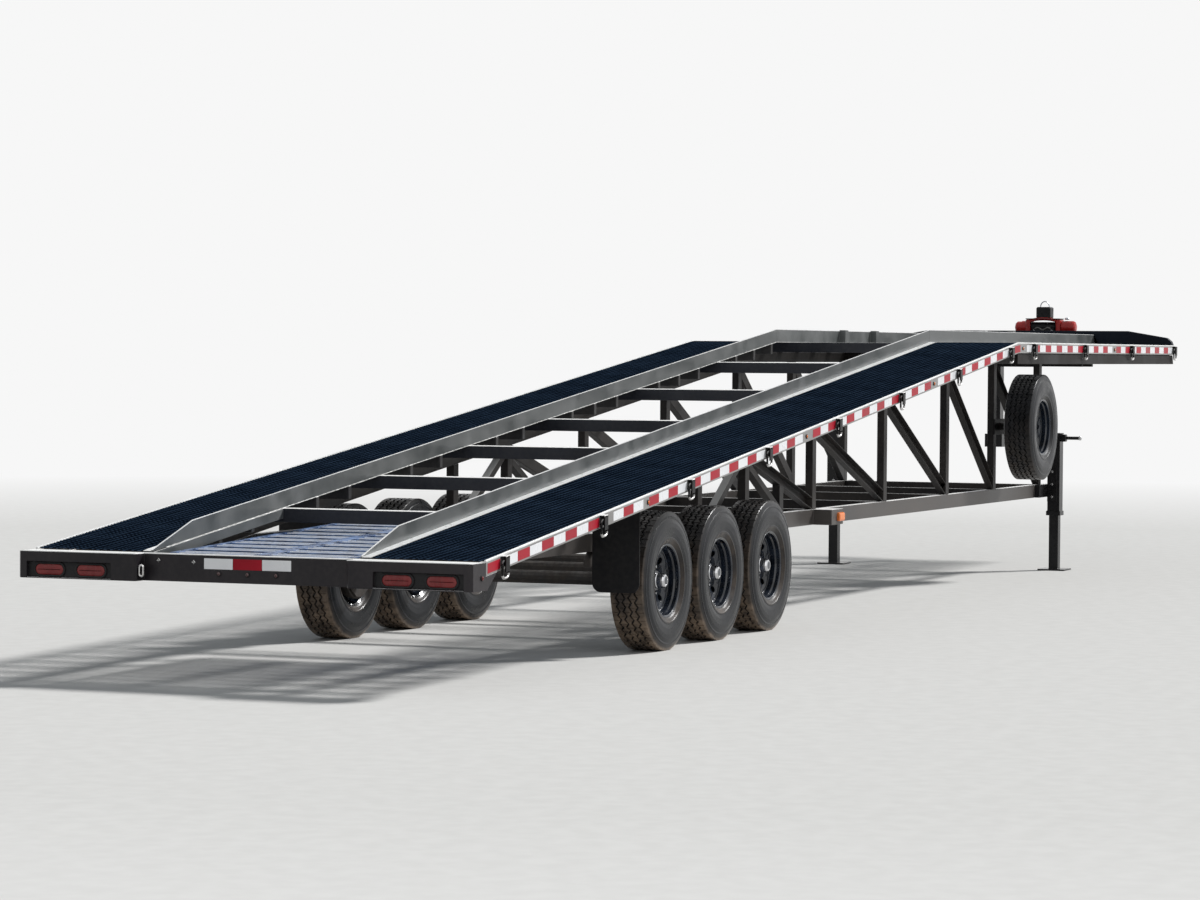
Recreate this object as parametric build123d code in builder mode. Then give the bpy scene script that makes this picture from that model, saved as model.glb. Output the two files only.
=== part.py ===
from build123d import *
import os
from math import cos, hypot, radians, sin

os.makedirs("parts", exist_ok=True)

# A wedge car hauler trailer with three single axles and a gooseneck, parked on its two jacks.
# +X is the front, +Y the left side, +Z up, and the ground is at Z = 0.
# Lengths are millimetres. A station is a distance forward of the bumper's rear face.

# Overall sizes
WIDTH = 2591.0  # over the side rails
DECK_LENGTH = 14710.0  # bumper face to the front ends of the rails
BEND = 9840.0  # station where the ramp meets the flat deck
TAIL_HEIGHT = 644.0  # height of the rail line at the bumper face
DECK_HEIGHT = 1806.0  # height of the rail line on the flat deck
GAP_WIDTH = 1200.0  # between the inner rails of the two runways

# Side rails: a channel, open inwards
RAIL_DEPTH = 72.0
RAIL_FLANGE = 38.0
RAIL_WALL = 5.0
RAIL_START = 170.0  # station of the rails' rear ends, behind the bumper

# Runway decking and the inner rails that edge it
DECKING = 6.0
DECKING_LAP = 14.0  # side rail flange left bare outside the decking
DECK_OPENINGS = 3  # openings across a runway, a plain grid that stands for expanded metal
DECK_BAR = 32.0  # width of the bars between the openings
SHORT_BAY = 500.0  # bays shorter than this share the next one's openings
INNER_RAIL_HEIGHT = 96.0
INNER_RAIL_FOOT = 56.0
INNER_RAIL_WALL = 6.0
INNER_FULL_STATION = 610.0  # where the rail's tail reaches its full height
INNER_TAIL_HEIGHT = 10.0
GAP_PLATE_DEPTH = 55.0  # plates on the joists' ends, from the bumper to the first cross-member
GAP_PLATE_WALL = 5.0
STAKE_POSTS = (1530.0, 2320.0)  # stake posts on the inner rails, distances forward of the bend
STAKE_SIZE = (76.0, 50.0, 150.0)  # length, width, height
STAKE_DROP = 46.0  # how far a stake post reaches below the rail line

# Joists, and the channels that cross the whole deck in line with them
JOIST_DEPTH = 76.0
JOIST_FLANGE = 38.0
JOIST_WALL = 5.0  # of the channels
JOIST_PROUD = 6.0  # how far a joist's end stands into the gap
BAYS = (  # station of the cross-member at the bay's front, joists inside the bay
    (1661.0, 3), (2907.0, 2), (4171.0, 2), (5427.0, 2), (6995.0, 3),
    (8556.0, 3), (10105.0, 3), (11675.0, 3), (13245.0, 3),
)
NOSE_PITCH = 350.0  # joists in front of the last cross-member

# Frame rails and the truss between them
FRAME_Y = 815.0  # middle of the frame rails
FRAME_WIDTH = 51.0
UPPER_DEPTH = 76.0
LOWER_TOP = 690.0
LOWER_DEPTH = 102.0
LOWER_END = 12280.0
POST_LENGTH = 76.0
POST_STATIONS = (4400.0, 5240.0, 6540.0, 8070.0, 9560.0, 10800.0, 12090.0)
FIRST_DIAGONAL = 1  # the post whose head the first diagonal starts from
DIAGONAL_DEPTH = 76.0
DIAGONAL_WALL = 6.0
SHORT_POST = 5890.0
BRACE_DEPTH = 45.0
BRACE_FOOT = 4592.0  # foot of the brace that rises to the first diagonal's post
FRAME_CROSS = (2420.0, 5560.0, 6540.0, 8070.0, 9560.0, 10800.0, 12090.0)
FRAME_CROSS_DEPTH = 76.0
OUTRIGGER = (6520.0, 6760.0, 130.0)  # start, end, reach outboard of the lower rail
EDGE_BEAM_WIDTH = 50.0
EDGE_BEAM_DEPTH = 76.0
EDGE_BEAM_INSET = 8.0
EDGE_BEAM_SLANT = 25.0

# Rear bumper with its two lamp boxes; heights are above the rail line at the bumper face
BUMPER_RISE = 18.0
BUMPER_HEIGHT = 141.0
LAMP_BOX_DEPTH = 85.0
LAMP_BOX_LENGTH = 695.0
LAMP_BOX_CHAMFER = 12.0
LAMP_RECESS = (24.0, 500.0, 82.0)  # depth, length, height
LAMP_DROP = 95.0  # lamps' middle below the bumper's top
LAMP_SIZE = (165.0, 56.0)
LAMP_PROUD = 12.0
LAMP_INSETS = (174.0, 420.0)  # lamps' middles from the side of the trailer
OVAL_STEPS = 5
END_PLATE = 6.0
END_PLATE_REACH = (20.0, 140.0)  # forward of the bumper, at the plate's bottom and at its top

# Small round lamps
BUTTON_RADIUS = 12.0
BUTTON_PROUD = 10.0
BUTTON_SIDES = 6
CENTRE_LAMPS = (-164.0, 0.0, 164.0)
SIDE_LAMP = (117.0, 77.0)  # station, distance below the bumper's top
MARKER_STATIONS = (2374.0, 5054.0, 7724.0, 9951.0, 12659.0)
OUTRIGGER_LAMP = (120.0, 20.0, 62.0)  # length, thickness, height
OUTRIGGER_LAMP_STATION = 6690.0

# Tie-down clips on the side rails with their rings; columns: first and last station, rings
RING_RUNS = ((376.0, BEND - 238.0, 8), (BEND + 391.0, DECK_LENGTH - 39.0, 4))
CLIP_LENGTH = 50.0
CLIP_HEIGHT = 80.0
CLIP_REACH = 30.0
CLIP_WALL = 8.0
RING_OUTSIDE = (90.0, 100.0)
RING_BAR = 14.0
RING_THICKNESS = 10.0
RING_DROP = 20.0  # ring's top below the clip's top

# Wheels and tyres: many-sided, with radii to the flats
AXLE_STATIONS = (3194.0, 4075.0, 4956.0)
TRACK = 2000.0
WHEEL_SIDES = 24
TYRE_RADIUS = 403.0
TYRE_WIDTH = 235.0
TREAD_WIDTH = 190.0
BEAD_RADIUS = 206.0
BEAD_WIDTH = 178.0
RIM_WALL = 7.0
DISC_THICKNESS = 10.0
SPARE_HOLE = 62.0
HUB_SIDES = 12
HUB_RADIUS = 62.0
HUB_REACH = 30.0
CAP_RADIUS = 36.0
CAP_REACH = 92.0
DRUM_SIDES = 12
DRUM_RADIUS = 165.0
DRUM_WIDTH = 70.0
DRUM_OVERHANG = 30.0  # how far the drum stands inboard of the rim

# Axles and springs
AXLE_SIDES = 12
AXLE_RADIUS = 38.0
SPINDLE_RADIUS = 24.0
SPINDLE_REACH = 50.0  # outboard of the wheel's middle
SPINDLE_END_GAP = 6.0
RUNNING_CLEARANCE = 0.4
WHEEL_CLEARANCE = 8.0  # between the drum and its backing plate
BACKING_PLATE = 6.0
BACKING_INSET = 12.0  # backing plate's radius under the drum's
SPRING_SEAT = (110.0, 6.0)  # length, height over the axle tube
SPRING_WIDTH = 45.0
SPRING_THICKNESS = 42.0
SPRING_EYE_DROP = 60.0  # spring tips' top below the lower rails
SPRING_TIP = 14.0
LEAF_STEPS = 4
HANGER_LENGTH = 90.0
EQUALISER_LENGTH = 190.0
EQUALISER_LIP = 12.0  # above and below the springs' tips
MUD_FLAP = (290.0, 500.0, 8.0)  # width, height, thickness
MUD_FLAP_STATION = 2655.0
MUD_FLAP_BOTTOM = 360.0
MUD_FLAP_GAP = 6.5  # between the flap and the frame rail
MUD_FLAP_CORNER = 40.0
MUD_FLAP_BAR = 30.0

# Spare wheel on the right
SPARE_STATION = 10900.0
SPARE_Y = -1098.0
SPARE_Z = 1170.0
CARRIER_RADIUS = 28.0
CARRIER_PLATE = (300.0, 12.0, 120.0)  # length, thickness, height
CLAMP_PLATE = (180.0, 16.0, 60.0)
CARRIER_END = 20.0  # arm's end outboard of the spare's disc

# Jacks
JACK_STATION = 12230.0
JACK_Y = 930.0
JACK_TUBE = 100.0
JACK_WALL = 6.0
JACK_TOP = 1100.0
JACK_BOTTOM = 440.0
JACK_CAP = (110.0, 8.0)  # side, thickness
JACK_COLLAR = (116.0, 36.0)  # side, height
JACK_LEG = 76.0
JACK_LEG_LAP = 180.0  # leg's length inside the tube
JACK_FIT = 0.3
JACK_FOOT = (220.0, 12.0)  # side, thickness
JACK_BRACKET_START = 11950.0
CRANK_DROP = 40.0  # below the jack's top
CRANK_BOX = (60.0, 40.0, 60.0)
CRANK_SIDES = 8
CRANK_RADIUS = 9.0
CRANK_REACH = 164.0

# Gooseneck coupler
COUPLER_STATION = 13730.0
COUPLER_BOTTOM = 945.0
COUPLER_TUBE = 102.0
COUPLER_STEM = (44.5, 120.0, 12)  # radius, length, sides
COUPLER_HEAD = (150.0, 110.0)  # side, height
COUPLER_BLOCK = 60.0  # width of the block between the neck's beams
COUPLER_SPREAD = 160.0  # neck's beams behind and in front of the coupler
BALL_RADIUS = 29.6
BALL_DEPTH = 48.0
NECK_DEPTH = 102.0
NECK_END = 14300.0

# Front header; columns: distance from the middle, height above the rail line
HEADER_PROFILE = ((895.0, 130.0), (1242.0, 72.0), (1280.0, 42.0))
HEADER_DEPTH = 64.0

# Winch on its shelf
WINCH_Y = -110.0
WINCH_SHELF = (270.0, 620.0, 10.0)  # reach, width, thickness
WINCH_RISE = 90.0  # shelf's top above the rail line
GUSSET = (200.0, 70.0, 8.0)  # reach, height, thickness
GUSSET_SPREAD = 500.0
DRUM_LENGTH = 230.0
WINCH_HOUSING = (150.0, 40.0, 140.0)  # length, width, height
WINCH_ENDS = ((-1, 130.0), (1, 110.0))  # side and reach of the motor and of the gearbox
WINCH_SIDES = 12
WINCH_RADII = (50.0, 58.0)  # drum, motor and gearbox
TIE_PLATE = 8.0
CONTROL_BOX = (120.0, 130.0, 100.0)
HANDLE = (90.0, 55.0, 10.0)  # width, height, bar

# Stowed loading ramps; heights are those of their undersides against the tail of the rail line
RAMP_LENGTH = 1980.0
RAMP_SIDE = 530.0
RAMP_START = 240.0
RAMP_RISES = (-22.0, 56.0)
RAMP_DEPTH = 40.0
RAMP_BEAM = 40.0  # width of a loading ramp's two side beams
RAMP_GAP = 8.0  # between the two stowed ramps
RUNG_LENGTH = 130.0
RUNG_DROP = (6.0, 4.0)  # rung's underside above and its top below the side beams' faces
RUNG_COUNT = 10
RAMP_BEARERS = (400.0, 1900.0)  # stations of the bars that the stowed ramps lie on
BEARER_SIZE = (50.0, 40.0)  # length, height

# Worked out from the sizes above
HALF_WIDTH = WIDTH / 2
REAR = -(DECK_LENGTH + WINCH_SHELF[0]) / 2
SLOPE = (DECK_HEIGHT - TAIL_HEIGHT) / BEND
GAP_EDGE = GAP_WIDTH / 2
JOIST_INNER = GAP_EDGE - JOIST_PROUD
JOIST_OUTER = HALF_WIDTH - RAIL_FLANGE
DECK_END = DECK_LENGTH - HEADER_DEPTH
FRAME_OUTER = FRAME_Y + FRAME_WIDTH / 2
FRAME_INNER = FRAME_Y - FRAME_WIDTH / 2
LOWER_BOTTOM = LOWER_TOP - LOWER_DEPTH
OUTRIGGER_Y = FRAME_OUTER + OUTRIGGER[2]
BUMPER_TOP = TAIL_HEIGHT + BUMPER_RISE
BUMPER_BOTTOM = BUMPER_TOP - BUMPER_HEIGHT
LAMP_Z = BUMPER_TOP - LAMP_DROP
SHELF_TOP = DECK_HEIGHT + WINCH_RISE
NECK_TOP = DECK_HEIGHT - JOIST_DEPTH
RING_STATIONS = [
    first + (last - first) * number / (count - 1)
    for first, last, count in RING_RUNS for number in range(count)
]


def fore(station):
    """X of a station."""
    return REAR + station


def line(station):
    """Height of the rail line at a station: the ramp, then the flat deck."""
    return TAIL_HEIGHT + SLOPE * min(station, BEND)


def soffit(station):
    """Height of the upper frame rail's underside."""
    return line(station) - JOIST_DEPTH - UPPER_DEPTH


def band(start, end, low, high):
    """Side outline of a strip along the rail line, low and high being heights above it."""
    corners = ((start, low), (end, low), (end, high), (start, high))
    return [(fore(station), line(station) + height) for station, height in corners]


def box_outline(start, end, low, high):
    """Side outline of a level box between two stations and two heights."""
    return [(fore(start), low), (fore(end), low), (fore(end), high), (fore(start), high)]


def channel(station):
    """Side outline of a cross-member: a channel open to the front, its flanges along the rail line."""
    web, reach, wall = station - JOIST_FLANGE / 2, station + JOIST_FLANGE / 2, JOIST_WALL
    corners = (
        (web, -JOIST_DEPTH), (reach, -JOIST_DEPTH), (reach, wall - JOIST_DEPTH),
        (web + wall, wall - JOIST_DEPTH), (web + wall, -wall), (reach, -wall), (reach, 0), (web, 0),
    )
    return [(fore(place), line(place) + height) for place, height in corners]


def joist(station):
    """Side outline of a joist."""
    return band(station - JOIST_FLANGE / 2, station + JOIST_FLANGE / 2, -JOIST_DEPTH, 0)


def strut(head, foot, depth, under=0.0, edge=0.0):
    """Side outline of a slanting member from one post's head to another post's foot.

    Its top corner is this far under the frame rail, and edge narrows it from both sides.
    """
    forward = 1 if foot > head else -1
    top_end = head + forward * POST_LENGTH / 2
    low_end = foot - forward * POST_LENGTH / 2
    top = soffit(top_end) - under
    slant = hypot(low_end - top_end, top - LOWER_TOP) / abs(low_end - top_end)
    rise, shy = depth * slant, edge * slant
    return [
        (fore(top_end), top - shy), (fore(top_end), top - rise + shy),
        (fore(low_end), LOWER_TOP + shy), (fore(low_end), LOWER_TOP + rise - shy),
    ]


def oval(length, height):
    """Outline of an oval lamp about its middle: two straight sides and many-sided round ends."""
    radius = height / 2
    return [
        (end * (length / 2 - radius + radius * cos(radians(angle))), end * radius * sin(radians(angle)))
        for end in (1, -1) for angle in [180 * step / OVAL_STEPS - 90 for step in range(OVAL_STEPS + 1)]
    ]


def bow(station, middle, tip):
    """Points along a leaf spring: a parabola from its low middle up to its two tips."""
    steps = [2 * number / LEAF_STEPS - 1 for number in range(LEAF_STEPS + 1)]
    return [(fore(station + step * SPRING_SPAN / 2), middle + (tip - middle) * step**2) for step in steps]


def bars(outlines, outer, width, mode=Mode.ADD):
    """Adds or cuts bars along Y with these side outlines, from Y = outer inwards by a width."""
    with BuildSketch(Plane.XZ.offset(-outer)) as side_view:
        for outline in outlines:
            Polygon(*outline, align=None)
    extrude(side_view.sketch, amount=width, mode=mode)


def rods(places, outer, length, radius, sides):
    """Adds many-sided rods along Y at these (X, Z) places; the radius is to the flats."""
    with BuildSketch(Plane.XZ.offset(-outer)) as ends:
        with Locations(*places):
            RegularPolygon(radius, sides, major_radius=False, rotation=180 / sides)
    extrude(ends.sketch, amount=length)


def disc(plane, start, end, radius, sides, mode=Mode.ADD):
    """Adds or cuts a many-sided disc between two distances from a plane; the radius is to the flats."""
    with BuildSketch(plane.offset(start)) as face:
        RegularPolygon(radius, sides, major_radius=False, rotation=180 / sides)
    extrude(face.sketch, amount=end - start, mode=mode)


# Stations of the cross-members and of the joists between them
CROSS_STATIONS, JOIST_STATIONS, bay_start = [], [], RAIL_START
for bay_end, inside in BAYS:
    if bay_end < DECK_END - JOIST_FLANGE:
        pitch = (bay_end - bay_start) / (inside + 1)
        JOIST_STATIONS += [bay_start + pitch * number for number in range(1, inside + 1)]
        CROSS_STATIONS.append(bay_end)
        bay_start = bay_end
while bay_start + NOSE_PITCH < DECK_END - JOIST_FLANGE:
    bay_start += NOSE_PITCH
    JOIST_STATIONS.append(bay_start)

# Lower frame rails: their rear ends are mitred against the upper rails, outriggers on their sides
with BuildPart() as lower_rails:
    mitre_low, mitre_high = [(height - soffit(0)) / SLOPE for height in (LOWER_BOTTOM, LOWER_TOP)]
    rail_outline = [
        (fore(mitre_low), LOWER_BOTTOM), (fore(LOWER_END), LOWER_BOTTOM),
        (fore(LOWER_END), LOWER_TOP), (fore(mitre_high), LOWER_TOP),
    ]
    bars([rail_outline], FRAME_OUTER, FRAME_WIDTH)
    outrigger_start, outrigger_end, outrigger_reach = OUTRIGGER
    bars([box_outline(outrigger_start, outrigger_end, LOWER_BOTTOM, LOWER_TOP)], OUTRIGGER_Y, outrigger_reach)
    mirror(about=Plane.XZ)

# Upper frame rails under the ramp's joists
with BuildPart() as ramp_frame_rails:
    bars([band(RAIL_START, BEND, -JOIST_DEPTH - UPPER_DEPTH, -JOIST_DEPTH)], FRAME_OUTER, FRAME_WIDTH)
    mirror(about=Plane.XZ)

# Neck rails under the flat deck
with BuildPart() as neck_rails:
    bars([band(BEND, NECK_END, -JOIST_DEPTH - UPPER_DEPTH, -JOIST_DEPTH)], FRAME_OUTER, FRAME_WIDTH)
    mirror(about=Plane.XZ)

# Truss diagonals: channels open outwards, each from a post's head to the next post's foot
diagonal_posts = list(zip(POST_STATIONS[FIRST_DIAGONAL:], POST_STATIONS[FIRST_DIAGONAL + 1:]))
brace_head, diagonal_foot = diagonal_posts[0]
with BuildPart() as truss_diagonals:
    bars([strut(head, foot, DIAGONAL_DEPTH) for head, foot in diagonal_posts], FRAME_OUTER, FRAME_WIDTH)
    bars(
        [strut(head, foot, DIAGONAL_DEPTH, edge=DIAGONAL_WALL) for head, foot in diagonal_posts],
        FRAME_OUTER, FRAME_WIDTH - DIAGONAL_WALL, mode=Mode.SUBTRACT,
    )
    first_diagonal = strut(brace_head, diagonal_foot, DIAGONAL_DEPTH)
    braces = (
        strut(brace_head, SHORT_POST, BRACE_DEPTH, under=first_diagonal[0][1] - first_diagonal[1][1]),
        strut(brace_head, BRACE_FOOT, BRACE_DEPTH),
    )
    bars(braces, FRAME_OUTER, FRAME_WIDTH)
    mirror(about=Plane.XZ)

# Truss posts between the frame rails, and a short one under the first diagonal
with BuildPart() as truss_posts:
    post_outlines = []
    for post in POST_STATIONS:
        back, front = post - POST_LENGTH / 2, post + POST_LENGTH / 2
        post_outlines.append([
            (fore(back), LOWER_TOP), (fore(front), LOWER_TOP),
            (fore(front), soffit(front)), (fore(back), soffit(back)),
        ])
    (top_x, top_z), (low_x, low_z) = first_diagonal[1:3]
    fall = (top_z - low_z) / (low_x - top_x)
    back, front = fore(SHORT_POST - POST_LENGTH / 2), fore(SHORT_POST + POST_LENGTH / 2)
    post_outlines.append([
        (back, LOWER_TOP), (front, LOWER_TOP),
        (front, low_z + fall * (low_x - front)), (back, low_z + fall * (low_x - back)),
    ])
    bars(post_outlines, FRAME_OUTER, FRAME_WIDTH)
    mirror(about=Plane.XZ)

# Joists under the ramp and under the flat deck
with BuildPart() as ramp_joists:
    bars([joist(station) for station in JOIST_STATIONS if station < BEND], JOIST_OUTER, JOIST_OUTER - JOIST_INNER)
    mirror(about=Plane.XZ)

with BuildPart() as deck_joists:
    bars([joist(station) for station in JOIST_STATIONS if station >= BEND], JOIST_OUTER, JOIST_OUTER - JOIST_INNER)
    mirror(about=Plane.XZ)

# Cross-members under both runways and across the gap between them
with BuildPart() as deck_cross_members:
    bars([channel(station) for station in CROSS_STATIONS], JOIST_OUTER, 2 * JOIST_OUTER)

# Cross-members between the lower frame rails
with BuildPart() as frame_cross_members:
    half_bar = FRAME_WIDTH / 2
    bars(
        [box_outline(place - half_bar, place + half_bar, LOWER_TOP - FRAME_CROSS_DEPTH, LOWER_TOP)
         for place in FRAME_CROSS],
        FRAME_INNER, 2 * FRAME_INNER,
    )

# Side rails: web, top flange and bottom flange; columns: low, high, width
RAIL_PLATES = (
    (-RAIL_DEPTH, 0.0, RAIL_WALL),
    (-RAIL_WALL, 0.0, RAIL_FLANGE),
    (-RAIL_DEPTH, RAIL_WALL - RAIL_DEPTH, RAIL_FLANGE),
)
with BuildPart() as ramp_side_rails:
    for low, high, plate_width in RAIL_PLATES:
        bars([band(RAIL_START, BEND, low, high)], HALF_WIDTH, plate_width)
    mirror(about=Plane.XZ)

with BuildPart() as deck_side_rails:
    for low, high, plate_width in RAIL_PLATES:
        bars([band(BEND, DECK_LENGTH, low, high)], HALF_WIDTH, plate_width)
    mirror(about=Plane.XZ)

# Decking of the two runways, with rows of openings between the cross-members
DECKING_OUTER = HALF_WIDTH - DECKING_LAP
DECKING_INNER = GAP_EDGE + INNER_RAIL_FOOT


def runways(start, end):
    """Adds the decking of both runways between two stations, with its grid of openings."""
    seams = [place for place in CROSS_STATIONS if start + SHORT_BAY < place < end - SHORT_BAY]
    opening_rows = [
        band(back + DECK_BAR, front - DECK_BAR, 0, DECKING)
        for back, front in zip([start] + seams, seams + [end])
    ]
    bars([band(start, end, 0, DECKING)], DECKING_OUTER, DECKING_OUTER - DECKING_INNER)
    column_pitch = (DECKING_OUTER - DECKING_INNER - DECK_BAR) / DECK_OPENINGS
    for number in range(DECK_OPENINGS):
        opening_outer = DECKING_OUTER - DECK_BAR - number * column_pitch
        bars(opening_rows, opening_outer, column_pitch - DECK_BAR, mode=Mode.SUBTRACT)
    mirror(about=Plane.XZ)


with BuildPart() as ramp_decking:
    runways(RAIL_START, BEND)

with BuildPart() as upper_decking:
    runways(BEND, DECK_END)

# Inner rails: an angle whose foot lies on the joists beside the decking, its tail tapered down
with BuildPart() as ramp_inner_rails:
    tapered = [
        (fore(RAIL_START), line(RAIL_START)), (fore(BEND), line(BEND)),
        (fore(BEND), line(BEND) + INNER_RAIL_HEIGHT),
        (fore(INNER_FULL_STATION), line(INNER_FULL_STATION) + INNER_RAIL_HEIGHT),
        (fore(RAIL_START), line(RAIL_START) + INNER_TAIL_HEIGHT),
    ]
    bars([tapered], GAP_EDGE + INNER_RAIL_WALL, INNER_RAIL_WALL)
    bars([band(RAIL_START, BEND, 0, INNER_RAIL_WALL)], DECKING_INNER, INNER_RAIL_FOOT)
    gap_plate_end = CROSS_STATIONS[0] - JOIST_FLANGE / 2
    bars([band(RAIL_START, gap_plate_end, -GAP_PLATE_DEPTH, 0)], JOIST_INNER, GAP_PLATE_WALL)
    mirror(about=Plane.XZ)

with BuildPart() as deck_inner_rails:
    bars([band(BEND, DECK_END, 0, INNER_RAIL_HEIGHT)], GAP_EDGE + INNER_RAIL_WALL, INNER_RAIL_WALL)
    bars([band(BEND, DECK_END, 0, INNER_RAIL_WALL)], DECKING_INNER, INNER_RAIL_FOOT)
    stake_length, stake_width, stake_height = STAKE_SIZE
    stakes = [
        band(BEND + place - stake_length / 2, BEND + place + stake_length / 2, -STAKE_DROP, stake_height - STAKE_DROP)
        for place in STAKE_POSTS
    ]
    bars(stakes, GAP_EDGE, stake_width)
    mirror(about=Plane.XZ)

# Edge beams below the flat deck's joists, with slanted front ends
with BuildPart() as deck_edge_beams:
    beam_bottom = NECK_TOP - EDGE_BEAM_DEPTH
    beam_outline = [
        (fore(BEND), beam_bottom), (fore(DECK_LENGTH), beam_bottom),
        (fore(DECK_LENGTH - EDGE_BEAM_SLANT), NECK_TOP), (fore(BEND), NECK_TOP),
    ]
    bars([beam_outline], HALF_WIDTH - EDGE_BEAM_INSET, EDGE_BEAM_WIDTH)
    mirror(about=Plane.XZ)

# Front header across the deck's nose, its ends sloping down to the side rails, and the beam under it
with BuildPart() as front_header:
    with BuildSketch(Plane.YZ.offset(fore(DECK_END))):
        left_half = [(reach, DECK_HEIGHT + height) for reach, height in HEADER_PROFILE]
        left_half.append((HALF_WIDTH, DECK_HEIGHT))
        right_half = [(-reach, height) for reach, height in reversed(left_half)]
        Polygon(*left_half, *right_half, align=None)
        with Locations((0, DECK_HEIGHT - JOIST_DEPTH / 2)):
            Rectangle(2 * JOIST_OUTER, JOIST_DEPTH)
    extrude(amount=HEADER_DEPTH)

# Rear bumper: a beam, a lamp box at each end, and plates that close the ends
with BuildPart() as rear_bumper:
    bumper_middle = (BUMPER_TOP + BUMPER_BOTTOM) / 2
    with Locations((fore(LAMP_BOX_DEPTH / 2), HALF_WIDTH - LAMP_BOX_LENGTH / 2, bumper_middle)):
        Box(LAMP_BOX_DEPTH, LAMP_BOX_LENGTH, BUMPER_HEIGHT)
    chamfer(rear_bumper.edges().filter_by(Axis.Z).group_by(Axis.X)[0], length=LAMP_BOX_CHAMFER)
    with Locations((fore(LAMP_RECESS[0] / 2), HALF_WIDTH - sum(LAMP_INSETS) / 2, LAMP_Z)):
        Box(*LAMP_RECESS, mode=Mode.SUBTRACT)
    beam_depth, half_beam = RAIL_START - LAMP_BOX_DEPTH, HALF_WIDTH - END_PLATE
    with Locations((fore(RAIL_START) - beam_depth / 2, half_beam / 2, bumper_middle)):
        Box(beam_depth, half_beam, BUMPER_HEIGHT)
    plate_low, plate_high = [RAIL_START + reach for reach in END_PLATE_REACH]
    end_outline = [
        (fore(LAMP_BOX_DEPTH), BUMPER_BOTTOM), (fore(plate_low), BUMPER_BOTTOM),
        (fore(plate_high), line(plate_high) - RAIL_DEPTH), (fore(RAIL_START), line(RAIL_START) - RAIL_DEPTH),
        (fore(RAIL_START), BUMPER_TOP), (fore(LAMP_BOX_DEPTH), BUMPER_TOP),
    ]
    bars([end_outline], HALF_WIDTH, END_PLATE)
    mirror(about=Plane.XZ)

# Red lamps: four ovals in the recesses, three buttons between the boxes and one on each end plate
with BuildPart() as tail_lamps:
    with BuildSketch(Plane.YZ.offset(fore(LAMP_RECESS[0] - LAMP_PROUD))):
        for inset in LAMP_INSETS:
            for side in (-1, 1):
                Polygon(*[(side * (HALF_WIDTH - inset) + y, LAMP_Z + z) for y, z in oval(*LAMP_SIZE)], align=None)
    extrude(amount=LAMP_PROUD)
    with BuildSketch(Plane.YZ.offset(fore(LAMP_BOX_DEPTH - BUTTON_PROUD))):
        with Locations(*[(place, LAMP_Z) for place in CENTRE_LAMPS]):
            RegularPolygon(BUTTON_RADIUS, BUTTON_SIDES)
    extrude(amount=BUTTON_PROUD)
    side_lamp = [(fore(SIDE_LAMP[0]), BUMPER_TOP - SIDE_LAMP[1])]
    rods(side_lamp, HALF_WIDTH + BUTTON_PROUD, BUTTON_PROUD, BUTTON_RADIUS, BUTTON_SIDES)
    rods(side_lamp, -HALF_WIDTH, BUTTON_PROUD, BUTTON_RADIUS, BUTTON_SIDES)

# Amber lamps: small ones along the side rails and one on each outrigger
with BuildPart() as marker_lamps:
    marker_places = [(fore(station), line(station) - RAIL_DEPTH / 2) for station in MARKER_STATIONS]
    rods(marker_places, HALF_WIDTH + BUTTON_PROUD, BUTTON_PROUD, BUTTON_RADIUS, BUTTON_SIDES)
    lamp_y, lamp_z = OUTRIGGER_Y + OUTRIGGER_LAMP[1] / 2, (LOWER_TOP + LOWER_BOTTOM) / 2
    with Locations((fore(OUTRIGGER_LAMP_STATION), lamp_y, lamp_z)):
        Box(*OUTRIGGER_LAMP)
    mirror(about=Plane.XZ)

# Tie-down clips on the side rails, each with a ring behind its hanging plate
with BuildPart() as tie_down_rings:
    clip_outer, half_clip = HALF_WIDTH + CLIP_REACH, CLIP_LENGTH / 2
    ring_width, ring_height = RING_OUTSIDE
    clips = [(station, line(station)) for station in RING_STATIONS]
    bars(
        [box_outline(station - half_clip, station + half_clip, top - CLIP_WALL, top) for station, top in clips],
        clip_outer, CLIP_REACH,
    )
    bars(
        [box_outline(station - half_clip, station + half_clip, top - CLIP_HEIGHT, top) for station, top in clips],
        clip_outer, CLIP_WALL,
    )
    for bar, mode in ((0.0, Mode.ADD), (RING_BAR, Mode.SUBTRACT)):
        half_ring = ring_width / 2 - bar
        ring_outlines = [
            box_outline(
                station - half_ring, station + half_ring,
                top - RING_DROP - ring_height + bar, top - RING_DROP - bar,
            )
            for station, top in clips
        ]
        bars(ring_outlines, clip_outer - CLIP_WALL, RING_THICKNESS, mode=mode)
    mirror(about=Plane.XZ)

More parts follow.
